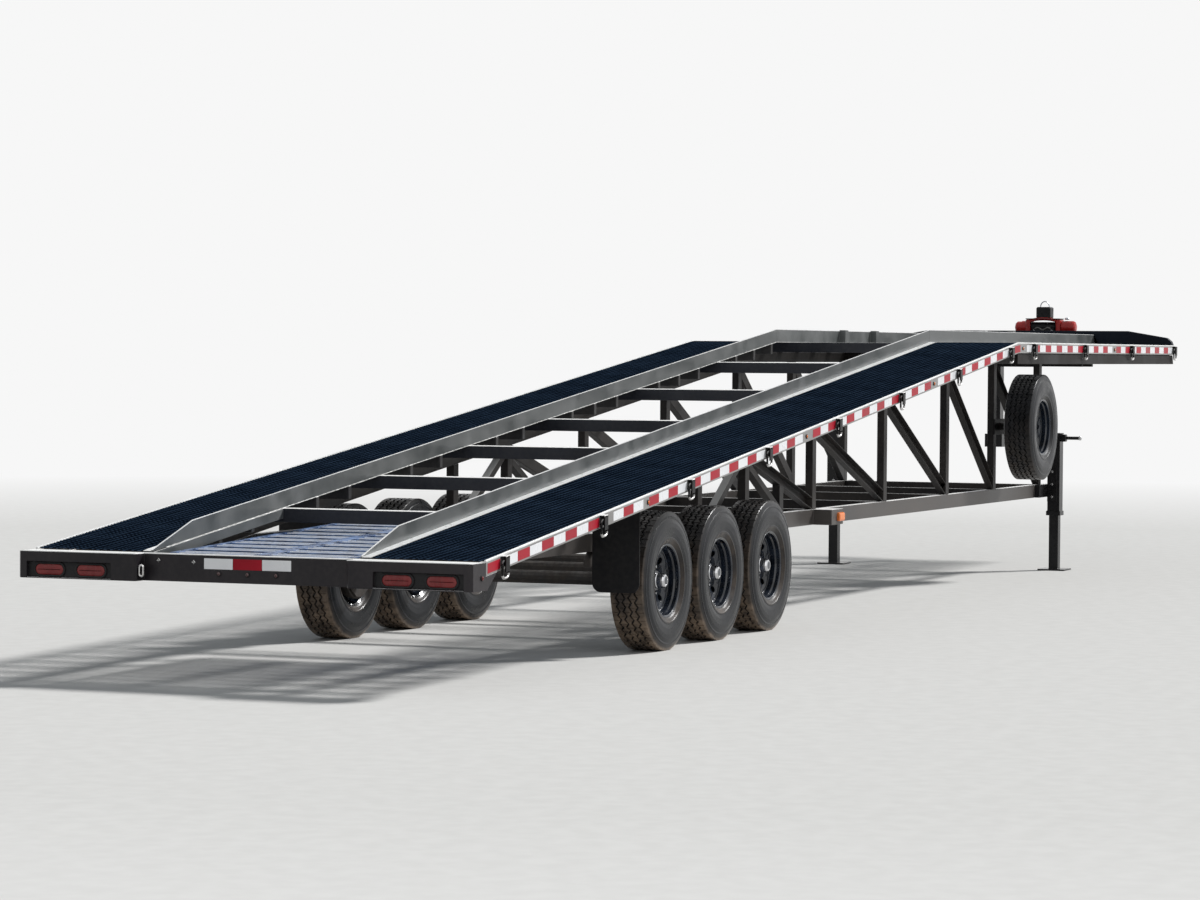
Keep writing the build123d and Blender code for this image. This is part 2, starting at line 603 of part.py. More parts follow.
# Axle beams with brake backing plates, spindles and spring seats
WHEEL_Y = TRACK / 2
HALF_BEAD = BEAD_WIDTH / 2
DRUM_INNER = -HALF_BEAD - DRUM_OVERHANG  # drum's inboard face, from the wheel's middle
BACKING_OUTER = WHEEL_Y + DRUM_INNER - WHEEL_CLEARANCE
SEAT_TOP = TYRE_RADIUS + AXLE_RADIUS + SPRING_SEAT[1]
with BuildPart() as axles:
    axle_places = [(fore(station), TYRE_RADIUS) for station in AXLE_STATIONS]
    tube_end = BACKING_OUTER - BACKING_PLATE
    rods(axle_places, tube_end, tube_end, AXLE_RADIUS, AXLE_SIDES)
    rods(axle_places, BACKING_OUTER, BACKING_PLATE, DRUM_RADIUS - BACKING_INSET, DRUM_SIDES)
    with BuildSketch(Plane.XZ.offset(-WHEEL_Y - SPINDLE_REACH)):
        with Locations(*axle_places):
            Circle(SPINDLE_RADIUS)
    extrude(amount=WHEEL_Y + SPINDLE_REACH - BACKING_OUTER)
    half_seat = SPRING_SEAT[0] / 2
    seats = [box_outline(place - half_seat, place + half_seat, TYRE_RADIUS, SEAT_TOP) for place in AXLE_STATIONS]
    bars(seats, FRAME_Y + SPRING_WIDTH / 2, SPRING_WIDTH)
    mirror(about=Plane.XZ)

# Leaf springs: thick in the middle, with thin tips against the hangers and equalisers
AXLE_PITCH = AXLE_STATIONS[1] - AXLE_STATIONS[0]
SPRING_SPAN = AXLE_PITCH - EQUALISER_LENGTH
EYE_TOP = LOWER_BOTTOM - SPRING_EYE_DROP
with BuildPart() as leaf_springs:
    springs = []
    for station in AXLE_STATIONS:
        under = bow(station, SEAT_TOP, EYE_TOP - SPRING_TIP)
        over = bow(station, SEAT_TOP + SPRING_THICKNESS, EYE_TOP)
        springs.append(under + over[::-1])
    bars(springs, FRAME_Y + SPRING_WIDTH / 2, SPRING_WIDTH)
    mirror(about=Plane.XZ)

# Spring hangers and the equalisers between the springs
with BuildPart() as spring_hangers:
    hanger_stations = [AXLE_STATIONS[0] - AXLE_PITCH / 2] + [place + AXLE_PITCH / 2 for place in AXLE_STATIONS]
    lip_low, lip_high = EYE_TOP - SPRING_TIP - EQUALISER_LIP, EYE_TOP + EQUALISER_LIP
    half_hanger, half_equaliser = HANGER_LENGTH / 2, EQUALISER_LENGTH / 2
    hangers = [
        [
            (fore(place - half_hanger), LOWER_BOTTOM), (fore(place - half_equaliser), lip_high),
            (fore(place - half_equaliser), lip_low), (fore(place + half_equaliser), lip_low),
            (fore(place + half_equaliser), lip_high), (fore(place + half_hanger), LOWER_BOTTOM),
        ]
        for place in hanger_stations
    ]
    bars(hangers, FRAME_Y + SPRING_WIDTH / 2, SPRING_WIDTH)
    mirror(about=Plane.XZ)

# Mud flaps behind the rear wheels, each on a bar from the upper frame rail
flap_width, flap_height, flap_thickness = MUD_FLAP
FLAP_INNER = FRAME_OUTER + MUD_FLAP_GAP
FLAP_OUTER = FLAP_INNER + flap_width
FLAP_TOP = MUD_FLAP_BOTTOM + flap_height
with BuildPart() as mud_flaps:
    with BuildSketch(Plane.YZ.offset(fore(MUD_FLAP_STATION))):
        Polygon(
            (FLAP_INNER, FLAP_TOP), (FLAP_INNER, MUD_FLAP_BOTTOM + MUD_FLAP_CORNER),
            (FLAP_INNER + MUD_FLAP_CORNER, MUD_FLAP_BOTTOM), (FLAP_OUTER - MUD_FLAP_CORNER, MUD_FLAP_BOTTOM),
            (FLAP_OUTER, MUD_FLAP_BOTTOM + MUD_FLAP_CORNER), (FLAP_OUTER, FLAP_TOP), align=None,
        )
    extrude(amount=flap_thickness)
    mirror(about=Plane.XZ)

with BuildPart() as mud_flap_bars:
    bar_start = MUD_FLAP_STATION + flap_thickness
    bar_outline = box_outline(bar_start, bar_start + MUD_FLAP_BAR, FLAP_TOP - MUD_FLAP_BAR, FLAP_TOP)
    bars([bar_outline], FLAP_OUTER, FLAP_OUTER - FRAME_OUTER)
    mirror(about=Plane.XZ)


def wheel_plane(station, middle, height, outboard):
    """Plane through a wheel's middle that faces outboard: 1 on the left and -1 on the right."""
    return Plane(origin=(fore(station), middle, height), x_dir=(1, 0, 0), z_dir=(0, outboard, 0))


def rim(plane):
    """Adds a wheel's rim with the disc across its middle."""
    rim_inside = BEAD_RADIUS - RIM_WALL
    disc(plane, -HALF_BEAD, HALF_BEAD, BEAD_RADIUS, WHEEL_SIDES)
    disc(plane, 0, HALF_BEAD, rim_inside, WHEEL_SIDES, mode=Mode.SUBTRACT)
    disc(plane, -HALF_BEAD, -DISC_THICKNESS, rim_inside, WHEEL_SIDES, mode=Mode.SUBTRACT)


def wheel(plane):
    """A wheel with its brake drum, hub, cap and the bore for its spindle."""
    with BuildPart() as piece:
        rim(plane)
        disc(plane, DRUM_INNER, DRUM_INNER + DRUM_WIDTH, DRUM_RADIUS, DRUM_SIDES)
        disc(plane, DRUM_INNER + DRUM_WIDTH, HUB_REACH, HUB_RADIUS, HUB_SIDES)
        disc(plane, HUB_REACH, CAP_REACH, CAP_RADIUS, HUB_SIDES)
        with BuildSketch(plane.offset(DRUM_INNER)) as bore:
            Circle(SPINDLE_RADIUS + RUNNING_CLEARANCE)
        bore_length = SPINDLE_REACH + SPINDLE_END_GAP - DRUM_INNER
        extrude(bore.sketch, amount=bore_length, mode=Mode.SUBTRACT)
    return piece.part


def spare_disc(plane):
    """The spare's wheel: a rim and a disc with a centre hole."""
    with BuildPart() as piece:
        rim(plane)
        disc(plane, -DISC_THICKNESS, 0, SPARE_HOLE, HUB_SIDES, mode=Mode.SUBTRACT)
    return piece.part


def tyre(plane):
    """A tyre of flat facets: tread, shoulders and sidewalls that narrow to the rim."""
    widest = (BEAD_RADIUS + TYRE_RADIUS) / 2
    half_section = ((HALF_BEAD, BEAD_RADIUS), (TYRE_WIDTH / 2, widest), (TREAD_WIDTH / 2, TYRE_RADIUS))
    section = [(-reach, radius) for reach, radius in half_section] + list(reversed(half_section))
    half_turn = 180 / WHEEL_SIDES
    angles = [radians(half_turn * (2 * number + 1)) for number in range(WHEEL_SIDES)]
    loops = []
    for reach, flat_radius in section:
        radius = flat_radius / cos(radians(half_turn))
        loops.append([plane.from_local_coords((radius * cos(a), radius * sin(a), reach)) for a in angles])
    facets = [
        Face(Wire.make_polygon([near[number - 1], near[number], far[number], far[number - 1]]))
        for near, far in zip(loops, loops[1:] + loops[:1]) for number in range(WHEEL_SIDES)
    ]
    return Solid(Shell(facets))


# Wheels and tyres, one of each at every axle end, and the spare
AXLE_NAMES = ("rear", "middle", "front")
turned_parts = []
for axle_name, station in zip(AXLE_NAMES, AXLE_STATIONS):
    for side_name, outboard in (("left", 1), ("right", -1)):
        place = wheel_plane(station, outboard * WHEEL_Y, TYRE_RADIUS, outboard)
        for kind, piece in (("wheel", wheel(place)), ("tyre", tyre(place))):
            piece.label = f"{kind}_{axle_name}_{side_name}"
            turned_parts.append(piece)
spare_place = wheel_plane(SPARE_STATION, SPARE_Y, SPARE_Z, -1)
for label, piece in (("spare_wheel", spare_disc(spare_place)), ("spare_tyre", tyre(spare_place))):
    piece.label = label
    turned_parts.append(piece)

# Carrier arm that holds the spare out from the frame, with its clamp plate on the disc
with BuildPart() as spare_carrier:
    arm = abs(SPARE_Y) + CARRIER_END - FRAME_OUTER
    rods([(fore(SPARE_STATION), SPARE_Z)], -FRAME_OUTER, arm, CARRIER_RADIUS, HUB_SIDES)
    with Locations((fore(SPARE_STATION), SPARE_Y - CLAMP_PLATE[1] / 2, SPARE_Z)):
        Box(*CLAMP_PLATE)
    with Locations((fore(SPARE_STATION), -FRAME_OUTER - CARRIER_PLATE[1] / 2, SPARE_Z)):
        Box(*CARRIER_PLATE)

# Jacks: outer tubes with a cap and a collar, drop legs with feet, and crank handles
with BuildPart() as jack_tubes:
    cap_side, cap_thickness = JACK_CAP
    collar_side, collar_height = JACK_COLLAR
    for side, low, high in (
        (JACK_TUBE, JACK_BOTTOM, JACK_TOP - cap_thickness),
        (cap_side, JACK_TOP - cap_thickness, JACK_TOP),
        (collar_side, JACK_BOTTOM, JACK_BOTTOM + collar_height),
    ):
        with Locations((fore(JACK_STATION), JACK_Y, (low + high) / 2)):
            Box(side, side, high - low)
    leg_hole, tube_hole = JACK_LEG + 2 * JACK_FIT, JACK_TUBE - 2 * JACK_WALL
    for side, low, high in (
        (leg_hole, JACK_BOTTOM, JACK_BOTTOM + collar_height),
        (tube_hole, JACK_BOTTOM + collar_height, JACK_TOP - cap_thickness),
    ):
        with Locations((fore(JACK_STATION), JACK_Y, (low + high) / 2)):
            Box(side, side, high - low, mode=Mode.SUBTRACT)
    bracket_outline = box_outline(JACK_BRACKET_START, JACK_STATION + JACK_TUBE / 2, LOWER_BOTTOM, LOWER_TOP)
    bars([bracket_outline], JACK_Y - JACK_TUBE / 2, JACK_Y - JACK_TUBE / 2 - FRAME_OUTER)
    mirror(about=Plane.XZ)

with BuildPart() as jack_legs:
    foot_side, foot_thickness = JACK_FOOT
    leg_top = JACK_BOTTOM + JACK_LEG_LAP
    with Locations((fore(JACK_STATION), JACK_Y, leg_top / 2)):
        Box(JACK_LEG, JACK_LEG, leg_top)
    with Locations((fore(JACK_STATION), JACK_Y, foot_thickness / 2)):
        Box(foot_side, foot_side, foot_thickness)
    mirror(about=Plane.XZ)

with BuildPart() as jack_cranks:
    crank_start, crank_z = JACK_Y + JACK_TUBE / 2, JACK_TOP - CRANK_DROP
    with Locations((fore(JACK_STATION), crank_start + CRANK_BOX[1] / 2, crank_z)):
        Box(*CRANK_BOX)
    rods([(fore(JACK_STATION), crank_z)], crank_start + CRANK_REACH, CRANK_REACH, CRANK_RADIUS, CRANK_SIDES)
    mirror(about=Plane.XZ)

# Gooseneck: cross beams, drop tube, stem and ball coupler
with BuildPart() as neck_cross_beams:
    half_beam = FRAME_WIDTH / 2
    beam_places = (POST_STATIONS[-1], COUPLER_STATION - COUPLER_SPREAD, COUPLER_STATION + COUPLER_SPREAD)
    bars(
        [box_outline(place - half_beam, place + half_beam, NECK_TOP - NECK_DEPTH, NECK_TOP) for place in beam_places],
        FRAME_INNER, 2 * FRAME_INNER,
    )

with BuildPart() as coupler:
    stem_radius, stem_length, stem_sides = COUPLER_STEM
    head_side, head_height = COUPLER_HEAD
    head_top = COUPLER_BOTTOM + head_height
    tube_bottom = head_top + stem_length
    with Locations((fore(COUPLER_STATION), 0, (NECK_TOP + tube_bottom) / 2)):
        Box(COUPLER_TUBE, COUPLER_TUBE, NECK_TOP - tube_bottom)
    disc(Plane.XY.shift_origin((fore(COUPLER_STATION), 0, 0)), head_top, tube_bottom, stem_radius, stem_sides)
    with Locations((fore(COUPLER_STATION), 0, (COUPLER_BOTTOM + head_top) / 2)):
        Box(head_side, head_side, head_height)
    with Locations((fore(COUPLER_STATION), 0, NECK_TOP - NECK_DEPTH / 2)):
        Box(2 * COUPLER_SPREAD - FRAME_WIDTH, COUPLER_BLOCK, NECK_DEPTH)
    with Locations((fore(COUPLER_STATION), 0, COUPLER_BOTTOM + BALL_DEPTH / 2)):
        Cylinder(BALL_RADIUS, BALL_DEPTH, mode=Mode.SUBTRACT)

# Winch shelf in front of the header, on two gussets
shelf_reach, shelf_width, shelf_thickness = WINCH_SHELF
shelf_bottom = SHELF_TOP - shelf_thickness
with BuildPart() as winch_shelf:
    with Locations((fore(DECK_LENGTH + shelf_reach / 2), WINCH_Y, SHELF_TOP - shelf_thickness / 2)):
        Box(*WINCH_SHELF)
    gusset_reach, gusset_height, gusset_thickness = GUSSET
    gusset = [
        (fore(DECK_LENGTH), shelf_bottom), (fore(DECK_LENGTH), shelf_bottom - gusset_height),
        (fore(DECK_LENGTH + gusset_reach), shelf_bottom),
    ]
    for side in (-1, 1):
        bars([gusset], WINCH_Y + (side * GUSSET_SPREAD + gusset_thickness) / 2, gusset_thickness)

# Winch: drum between two housings, motor, gearbox, tie plate and control box
with BuildPart() as winch:
    shelf_middle = DECK_LENGTH + shelf_reach / 2
    housing_length, housing_width, housing_height = WINCH_HOUSING
    drum_radius, motor_radius = WINCH_RADII
    winch_axis = [(fore(shelf_middle), SHELF_TOP + housing_height / 2)]
    housing_top = SHELF_TOP + housing_height
    half_drum = DRUM_LENGTH / 2
    for side, reach in WINCH_ENDS:
        with Locations((fore(shelf_middle), WINCH_Y + side * (half_drum + housing_width / 2), winch_axis[0][1])):
            Box(*WINCH_HOUSING)
        end_face = WINCH_Y + side * (half_drum + housing_width)
        rods(winch_axis, max(end_face, end_face + side * reach), reach, motor_radius, WINCH_SIDES)
    rods(winch_axis, WINCH_Y + half_drum, DRUM_LENGTH, drum_radius, WINCH_SIDES)
    with Locations((fore(shelf_middle), WINCH_Y, housing_top + TIE_PLATE / 2)):
        Box(housing_length, DRUM_LENGTH + 2 * housing_width, TIE_PLATE)
    box_top = housing_top + TIE_PLATE + CONTROL_BOX[2]
    with Locations((fore(shelf_middle), WINCH_Y, box_top - CONTROL_BOX[2] / 2)):
        Box(*CONTROL_BOX)
    handle_width, handle_height, handle_bar = HANDLE
    with Locations((fore(shelf_middle), WINCH_Y, box_top + handle_height - handle_bar / 2)):
        Box(handle_bar, handle_width, handle_bar)
    for side in (-1, 1):
        leg_y = WINCH_Y + side * (handle_width - handle_bar) / 2
        with Locations((fore(shelf_middle), leg_y, box_top + handle_height / 2)):
            Box(handle_bar, handle_bar, handle_height)

# Bars between the frame rails that the stowed ramps lie on
RAMP_UNDER = [TAIL_HEIGHT + rise for rise in RAMP_RISES]
RAMP_SLOPE = (RAMP_UNDER[1] - RAMP_UNDER[0]) / RAMP_LENGTH


def ramp_band(start, end, low, high):
    """Side outline of a strip along the stowed ramps, low and high being above their undersides."""
    corners = ((start, low), (end, low), (end, high), (start, high))
    return [
        (fore(station), RAMP_UNDER[0] + RAMP_SLOPE * (station - RAMP_START) + height)
        for station, height in corners
    ]


with BuildPart() as ramp_bearers:
    bearer_length, bearer_height = BEARER_SIZE
    half_bearer = bearer_length / 2
    bearers = [ramp_band(place - half_bearer, place + half_bearer, -bearer_height, 0) for place in RAMP_BEARERS]
    bars(bearers, FRAME_INNER, 2 * FRAME_INNER)

# Loading ramps stowed side by side: two side beams each, joined by rungs
with BuildPart() as loading_ramps:
    ramp_inner, ramp_outer = RAMP_GAP / 2, RAMP_GAP / 2 + RAMP_SIDE
    for outer in (ramp_inner + RAMP_BEAM, ramp_outer):
        bars([ramp_band(RAMP_START, RAMP_START + RAMP_LENGTH, 0, RAMP_DEPTH)], outer, RAMP_BEAM)
    rung_pitch = (RAMP_LENGTH - RUNG_LENGTH) / (RUNG_COUNT - 1)
    rung_starts = [RAMP_START + number * rung_pitch for number in range(RUNG_COUNT)]
    rungs = [
        ramp_band(back, back + RUNG_LENGTH, RUNG_DROP[0], RAMP_DEPTH - RUNG_DROP[1]) for back in rung_starts
    ]
    bars(rungs, ramp_outer, RAMP_SIDE)
    mirror(about=Plane.XZ)

# Every piece is labelled and written under its own name
blocks = {
    "lower_rails": lower_rails, "ramp_frame_rails": ramp_frame_rails, "neck_rails": neck_rails,
    "truss_posts": truss_posts, "truss_diagonals": truss_diagonals, "ramp_joists": ramp_joists,
    "deck_joists": deck_joists, "deck_cross_members": deck_cross_members,
    "frame_cross_members": frame_cross_members, "ramp_side_rails": ramp_side_rails,
    "deck_side_rails": deck_side_rails, "ramp_decking": ramp_decking, "upper_decking": upper_decking,
    "ramp_inner_rails": ramp_inner_rails, "deck_inner_rails": deck_inner_rails,
    "deck_edge_beams": deck_edge_beams, "front_header": front_header, "rear_bumper": rear_bumper,
    "tail_lamps": tail_lamps, "marker_lamps": marker_lamps, "tie_down_rings": tie_down_rings,
    "axles": axles, "leaf_springs": leaf_springs, "spring_hangers": spring_hangers,
    "mud_flaps": mud_flaps, "mud_flap_bars": mud_flap_bars, "spare_carrier": spare_carrier,
    "jack_tubes": jack_tubes, "jack_legs": jack_legs, "jack_cranks": jack_cranks,
    "neck_cross_beams": neck_cross_beams, "coupler": coupler, "winch_shelf": winch_shelf, "winch": winch,
    "loading_ramps": loading_ramps, "ramp_bearers": ramp_bearers,
}
for name, block in blocks.items():
    block.part.label = name
    export_step(block.part, f"parts/{name}.step")
for piece in turned_parts:
    export_step(piece, f"parts/{piece.label}.step")
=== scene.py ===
import logging
from dataclasses import dataclass, field
from enum import Enum
from math import cos, pi, radians, sin

import bmesh
import bpy
import numpy as np
from mathutils import Matrix


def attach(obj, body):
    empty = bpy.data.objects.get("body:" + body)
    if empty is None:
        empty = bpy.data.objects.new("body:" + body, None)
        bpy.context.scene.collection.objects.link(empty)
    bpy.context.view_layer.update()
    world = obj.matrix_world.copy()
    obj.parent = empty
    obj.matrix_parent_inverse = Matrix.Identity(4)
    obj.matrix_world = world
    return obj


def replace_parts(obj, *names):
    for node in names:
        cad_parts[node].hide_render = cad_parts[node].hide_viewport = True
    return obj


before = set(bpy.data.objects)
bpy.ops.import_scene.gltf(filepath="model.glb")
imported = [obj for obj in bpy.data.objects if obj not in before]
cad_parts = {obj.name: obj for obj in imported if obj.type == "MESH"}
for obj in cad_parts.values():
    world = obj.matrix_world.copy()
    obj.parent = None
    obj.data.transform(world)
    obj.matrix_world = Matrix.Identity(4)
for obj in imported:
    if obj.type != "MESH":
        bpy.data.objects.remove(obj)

LOG = logging.getLogger("trailer")
Colour = tuple[float, float, float]
Point = tuple[float, float, float]
Outline = tuple[tuple[float, float], ...]
Socket = bpy.types.NodeSocket


class Along(Enum):
    """The axis that an outline is drawn out along."""

    X = 0
    Y = 1
    Z = 2


class Side(Enum):
    """A side of the trailer, with the sign of its Y."""

    LEFT = 1
    RIGHT = -1


@dataclass(frozen=True)
class RailLine:
    """The line that rails, joists and decking follow: a ramp, then a flat deck.

    A station is a distance forward of the bumper's rear face, in metres. The clips with rings and the
    amber lamps stand at stations, and the tape's middle lies below the line.
    """

    rear: float = -7.490
    tail: float = 0.644
    deck: float = 1.806
    bend: float = 9.840
    start: float = 0.170
    length: float = 14.710
    header: float = 0.064
    half_width: float = 1.2955
    recess: float = 0.085
    tape: float = -0.036
    rings: tuple[float, ...] = tuple(np.r_[0.376:9.602:8j, 10.231:14.671:4j].round(4).tolist())
    lamps: tuple[float, ...] = (2.374, 5.054, 7.724, 9.951, 12.659)

    def lift(self, points: np.ndarray) -> np.ndarray:
        """Places points that are drawn as (station, y, height above the line).

        The line rises evenly up to the bend and is level after it.

        Args:
            points: Array whose last axis holds station, y and height.

        Returns:
            The same points as X, Y, Z.
        """
        station = points[..., 0]
        rise = (self.deck - self.tail) / self.bend * np.minimum(station, self.bend)
        return np.stack((self.rear + station, points[..., 1], self.tail + rise + points[..., 2]), -1)


LINE = RailLine()


def linked(name: str, data: bpy.types.ID) -> bpy.types.Object:
    """Makes an object and links it to the scene.

    Args:
        name: Its name.
        data: Its mesh, camera or light.

    Returns:
        The object.
    """
    made = bpy.data.objects.new(name, data)
    bpy.context.scene.collection.objects.link(made)
    return made


class Surface:
    """Points and faces of one piece in the making."""

    def __init__(self) -> None:
        """Starts with no points."""
        self.points: list[np.ndarray] = []
        self.faces: list[list[int]] = []
        self.tints: list[int] = []
        self.count = 0

    def tubes(self, points: np.ndarray, closed: bool = False, caps: bool = True, tint: int = 0) -> None:
        """Adds tubes: rings of corner points, each ring joined to the next by quads.

        Args:
            points: Array (tubes, rings, corners, 3).
            closed: True joins the last ring to the first.
            caps: True closes the two ends of an open tube.
            tint: Material slot of these faces.
        """
        tubes, rings, corners = points.shape[:3]
        index = self.count + np.arange(tubes * rings * corners).reshape(tubes, rings, corners)
        loop = np.concatenate((index, index[:, :, :1]), 2)
        if closed:
            loop = np.concatenate((loop, loop[:, :1]), 1)
        quads = np.stack((loop[:, :-1, :-1], loop[:, 1:, :-1], loop[:, 1:, 1:], loop[:, :-1, 1:]), -1)
        faces = quads.reshape(-1, 4).tolist()
        if caps and not closed:
            faces += index[:, 0, ::-1].tolist() + index[:, -1].tolist()
        self.faces += faces
        self.tints += [tint] * len(faces)
        self.points.append(points.reshape(-1, 3))
        self.count += tubes * rings * corners

    def build(self, name: str, merge: bool = True) -> bpy.types.Object:
        """Makes the piece's object, with its faces turned outwards.

        Args:
            name: The piece's name.
            merge: True joins points that lie on each other, as at poles and seams.

        Returns:
            The object, linked to the scene.
        """
        mesh = bpy.data.meshes.new(name)
        mesh.from_pydata(np.concatenate(self.points).tolist(), [], self.faces)
        mesh.polygons.foreach_set("material_index", np.array(self.tints, np.int32))
        work = bmesh.new()
        work.from_mesh(mesh)
        if merge:
            bmesh.ops.remove_doubles(work, verts=work.verts, dist=1e-6)
        bmesh.ops.recalc_face_normals(work, faces=work.faces)
        work.to_mesh(mesh)
        work.free()
        return linked(name, mesh)


def rounded(width: float, height: float, radius: float, steps: int = 3) -> np.ndarray:
    """Outline of a rectangle with round corners: four quarter circles about the corner centres.

    Args:
        width: Size along the first axis.
        height: Size along the second axis.
        radius: Radius of the corners; half the width and height give a circle.
        steps: Steps in each quarter circle.

    Returns:
        Array (4 * (steps + 1), 2), counter-clockwise.
    """
    quarter = np.repeat(np.arange(4), steps + 1)
    angle = np.tile(np.linspace(0, pi / 2, steps + 1), 4) + quarter * pi / 2
    signs = np.array(((1, 1), (-1, 1), (-1, -1), (1, -1)))[quarter]
    centres = signs * np.array((width / 2 - radius, height / 2 - radius))
    return centres + radius * np.stack((np.cos(angle), np.sin(angle)), -1)


def stack(outline: np.ndarray, levels: list[tuple[float, float]], along: Along) -> np.ndarray:
    """Levels of one outline, each drawn in from its edges: a point moves along its two edges' bisector.

    Args:
        outline: Array (corners, 2) on the two axes other than along.
        levels: Rows of (distance inwards, place along the axis).
        along: The axis that the levels follow.

    Returns:
        Array (1, levels, corners, 3).
    """
    edge = np.roll(outline, -1, 0) - outline
    turn = np.sign((outline[:, 0] * np.roll(outline[:, 1], -1) - outline[:, 1] * np.roll(outline[:, 0], -1)).sum())
    normal = turn * np.stack((edge[:, 1], -edge[:, 0]), 1)
    normal /= np.maximum(np.linalg.norm(normal, axis=1, keepdims=True), 1e-12)
    before = np.roll(normal, 1, 0)
    shift = (normal + before) / (1 + (normal * before).sum(1, keepdims=True))
    rows = [np.insert(outline - inwards * shift, along.value, place, axis=1) for inwards, place in levels]
    return np.stack(rows)[None]


def prism(outline: np.ndarray, low: float, high: float, along: Along, bevel: float = 0.001) -> np.ndarray:
    """A bar with this outline from low to high along its axis, with bevelled end edges."""
    return stack(outline, [(bevel, low), (0, low + bevel), (0, high - bevel), (bevel, high)], along)


def rising(crown: Outline, face: float, way: int) -> list[tuple[float, float]]:
    """Levels, for stack, of a crown on a face that points up its axis (way 1) or down it (-1)."""
    return [(inwards, face + way * rise) for inwards, rise in crown]


def stud(width: float, levels: list[tuple[float, float]], along: Along, steps: int = 1) -> np.ndarray:
    """A round knob drawn in level by level; with one step it is a four-sided head turned on its corner."""
    return stack(rounded(width, width, width / 2, steps), levels, along)


def brick(centre: Point, size: Point, bevel: float = 0.002) -> np.ndarray:
    """A box of this length, width and height about its middle, with all its edges rounded off."""
    outline = rounded(size[0], size[1], bevel, 1)
    return prism(outline, -size[2] / 2, size[2] / 2, Along.Z, bevel) + np.array(centre)


def spun(profile: np.ndarray, centre: Point, outboard: int, steps: int) -> np.ndarray:
    """A closed profile turned about an axis along Y: x and z go round a circle of the profile's radius.

    Args:
        profile: Array (points, 2) of radius and distance outboard of the centre.
        centre: Middle of the turned piece.
        outboard: 1 where outboard is +Y and -1 where it is -Y.
        steps: Steps round the axis.

    Returns:
        Array (1, steps, points, 3), for closed tubes.
    """
    angle = np.linspace(0, 2 * pi, steps, endpoint=False)[:, None]
    radius, reach = profile[None, :, 0], profile[None, :, 1]
    points = np.stack((radius * np.cos(angle), outboard * reach + 0 * angle, radius * np.sin(angle)), -1)
    return points[None] + np.array(centre)


def pipe(path: np.ndarray, radius: float, up: Point, sides: int = 8) -> np.ndarray:
    """A round bar along a path: circles square to the path's direction.

    Args:
        path: Array (points, 3).
        radius: Radius of the bar.
        up: A direction that the path never runs along.
        sides: Sides of the bar.

    Returns:
        Array (1, points, sides, 3).
    """
    ahead = np.gradient(path, axis=0)
    if np.linalg.norm(path[0] - path[-1]) < 3 * np.linalg.norm(path[1] - path[0]):
        ahead = np.roll(path, -1, 0) - np.roll(path, 1, 0)
    across = np.cross(ahead, np.array(up))
    across /= np.linalg.norm(across, axis=1, keepdims=True)
    over = np.cross(across, ahead)
    over /= np.linalg.norm(over, axis=1, keepdims=True)
    angle = np.linspace(0, 2 * pi, sides, endpoint=False)[None, :, None]
    ring = np.cos(angle) * across[:, None] + np.sin(angle) * over[:, None]
    return (path[:, None] + radius * ring)[None]


def placed(shape: np.ndarray, places: np.ndarray) -> np.ndarray:
    """Copies of a shape for tubes, one moved by each of the places (copies, 3)."""
    return shape + places[:, None, None, :]


def along_line(outline: np.ndarray, stations: tuple[float, ...], lifts: tuple[float, ...]) -> np.ndarray:
    """A bar that follows the rail line: its outline of y and height is lifted at each station."""
    rows = [np.insert(outline + np.array((0, lift)), 0, station, axis=1) for station, lift in zip(stations, lifts)]
    return LINE.lift(np.stack(rows))[None]


def both(shape: np.ndarray) -> np.ndarray:
    """A shape and its mirror image on the other side of the trailer."""
    return np.concatenate((shape, shape * np.array((1, -1, 1))))


class Bench:
    """Puts nodes into a node tree."""

    def __init__(self, tree: bpy.types.NodeTree) -> None:
        """Keeps the tree."""
        self.tree = tree

    def node(self, kind: str, inputs: dict | None = None, **settings: object) -> bpy.types.Node:
        """Adds a node.

        Args:
            kind: The node's type.
            inputs: Its sockets by name or number, each with a value or with a socket to link.
            settings: Its other properties.

        Returns:
            The node.
        """
        made = self.tree.nodes.new(kind)
        for name, value in settings.items():
            setattr(made, name, value)
        for key, value in (inputs or {}).items():
            if isinstance(value, Socket):
                self.tree.links.new(value, made.inputs[key])
            else:
                made.inputs[key].default_value = value
        return made

    def mix(self, share: object, first: object, second: object) -> Socket:
        """Mixes two colours, each a socket or RGBA, by the second one's share."""
        return self.node("ShaderNodeMix", {0: share, 6: first, 7: second}, data_type="RGBA").outputs[2]

    def math(self, kind: str, first: object, second: object) -> Socket:
        """Adds a clamped sum of this kind on two sockets or numbers."""
        return self.node("ShaderNodeMath", {0: first, 1: second}, operation=kind, use_clamp=True).outputs[0]

    def span(self, value: object, low: float, high: float, start: float, end: float) -> Socket:
        """Maps the range low to high of a socket onto start to end."""
        return self.node("ShaderNodeMapRange", {0: value, 1: low, 2: high, 3: start, 4: end}).outputs[0]

    def place(self) -> Socket:
        """Adds the object's coordinates."""
        return self.node("ShaderNodeTexCoord").outputs["Object"]

    def noise(self, place: Socket, scale: object, detail: float) -> Socket:
        """Adds soft noise at these coordinates; its scale is a socket or a number."""
        return self.node("ShaderNodeTexNoise", {"Vector": place, "Scale": scale, "Detail": detail}).outputs[0]


def fresh(owner: bpy.types.Material | bpy.types.World) -> Bench:
    """Clears the nodes of a material or the world.

    Args:
        owner: The new material or world.

    Returns:
        The bench for its nodes.
    """
    owner.use_nodes = True
    owner.node_tree.nodes.clear()
    return Bench(owner.node_tree)


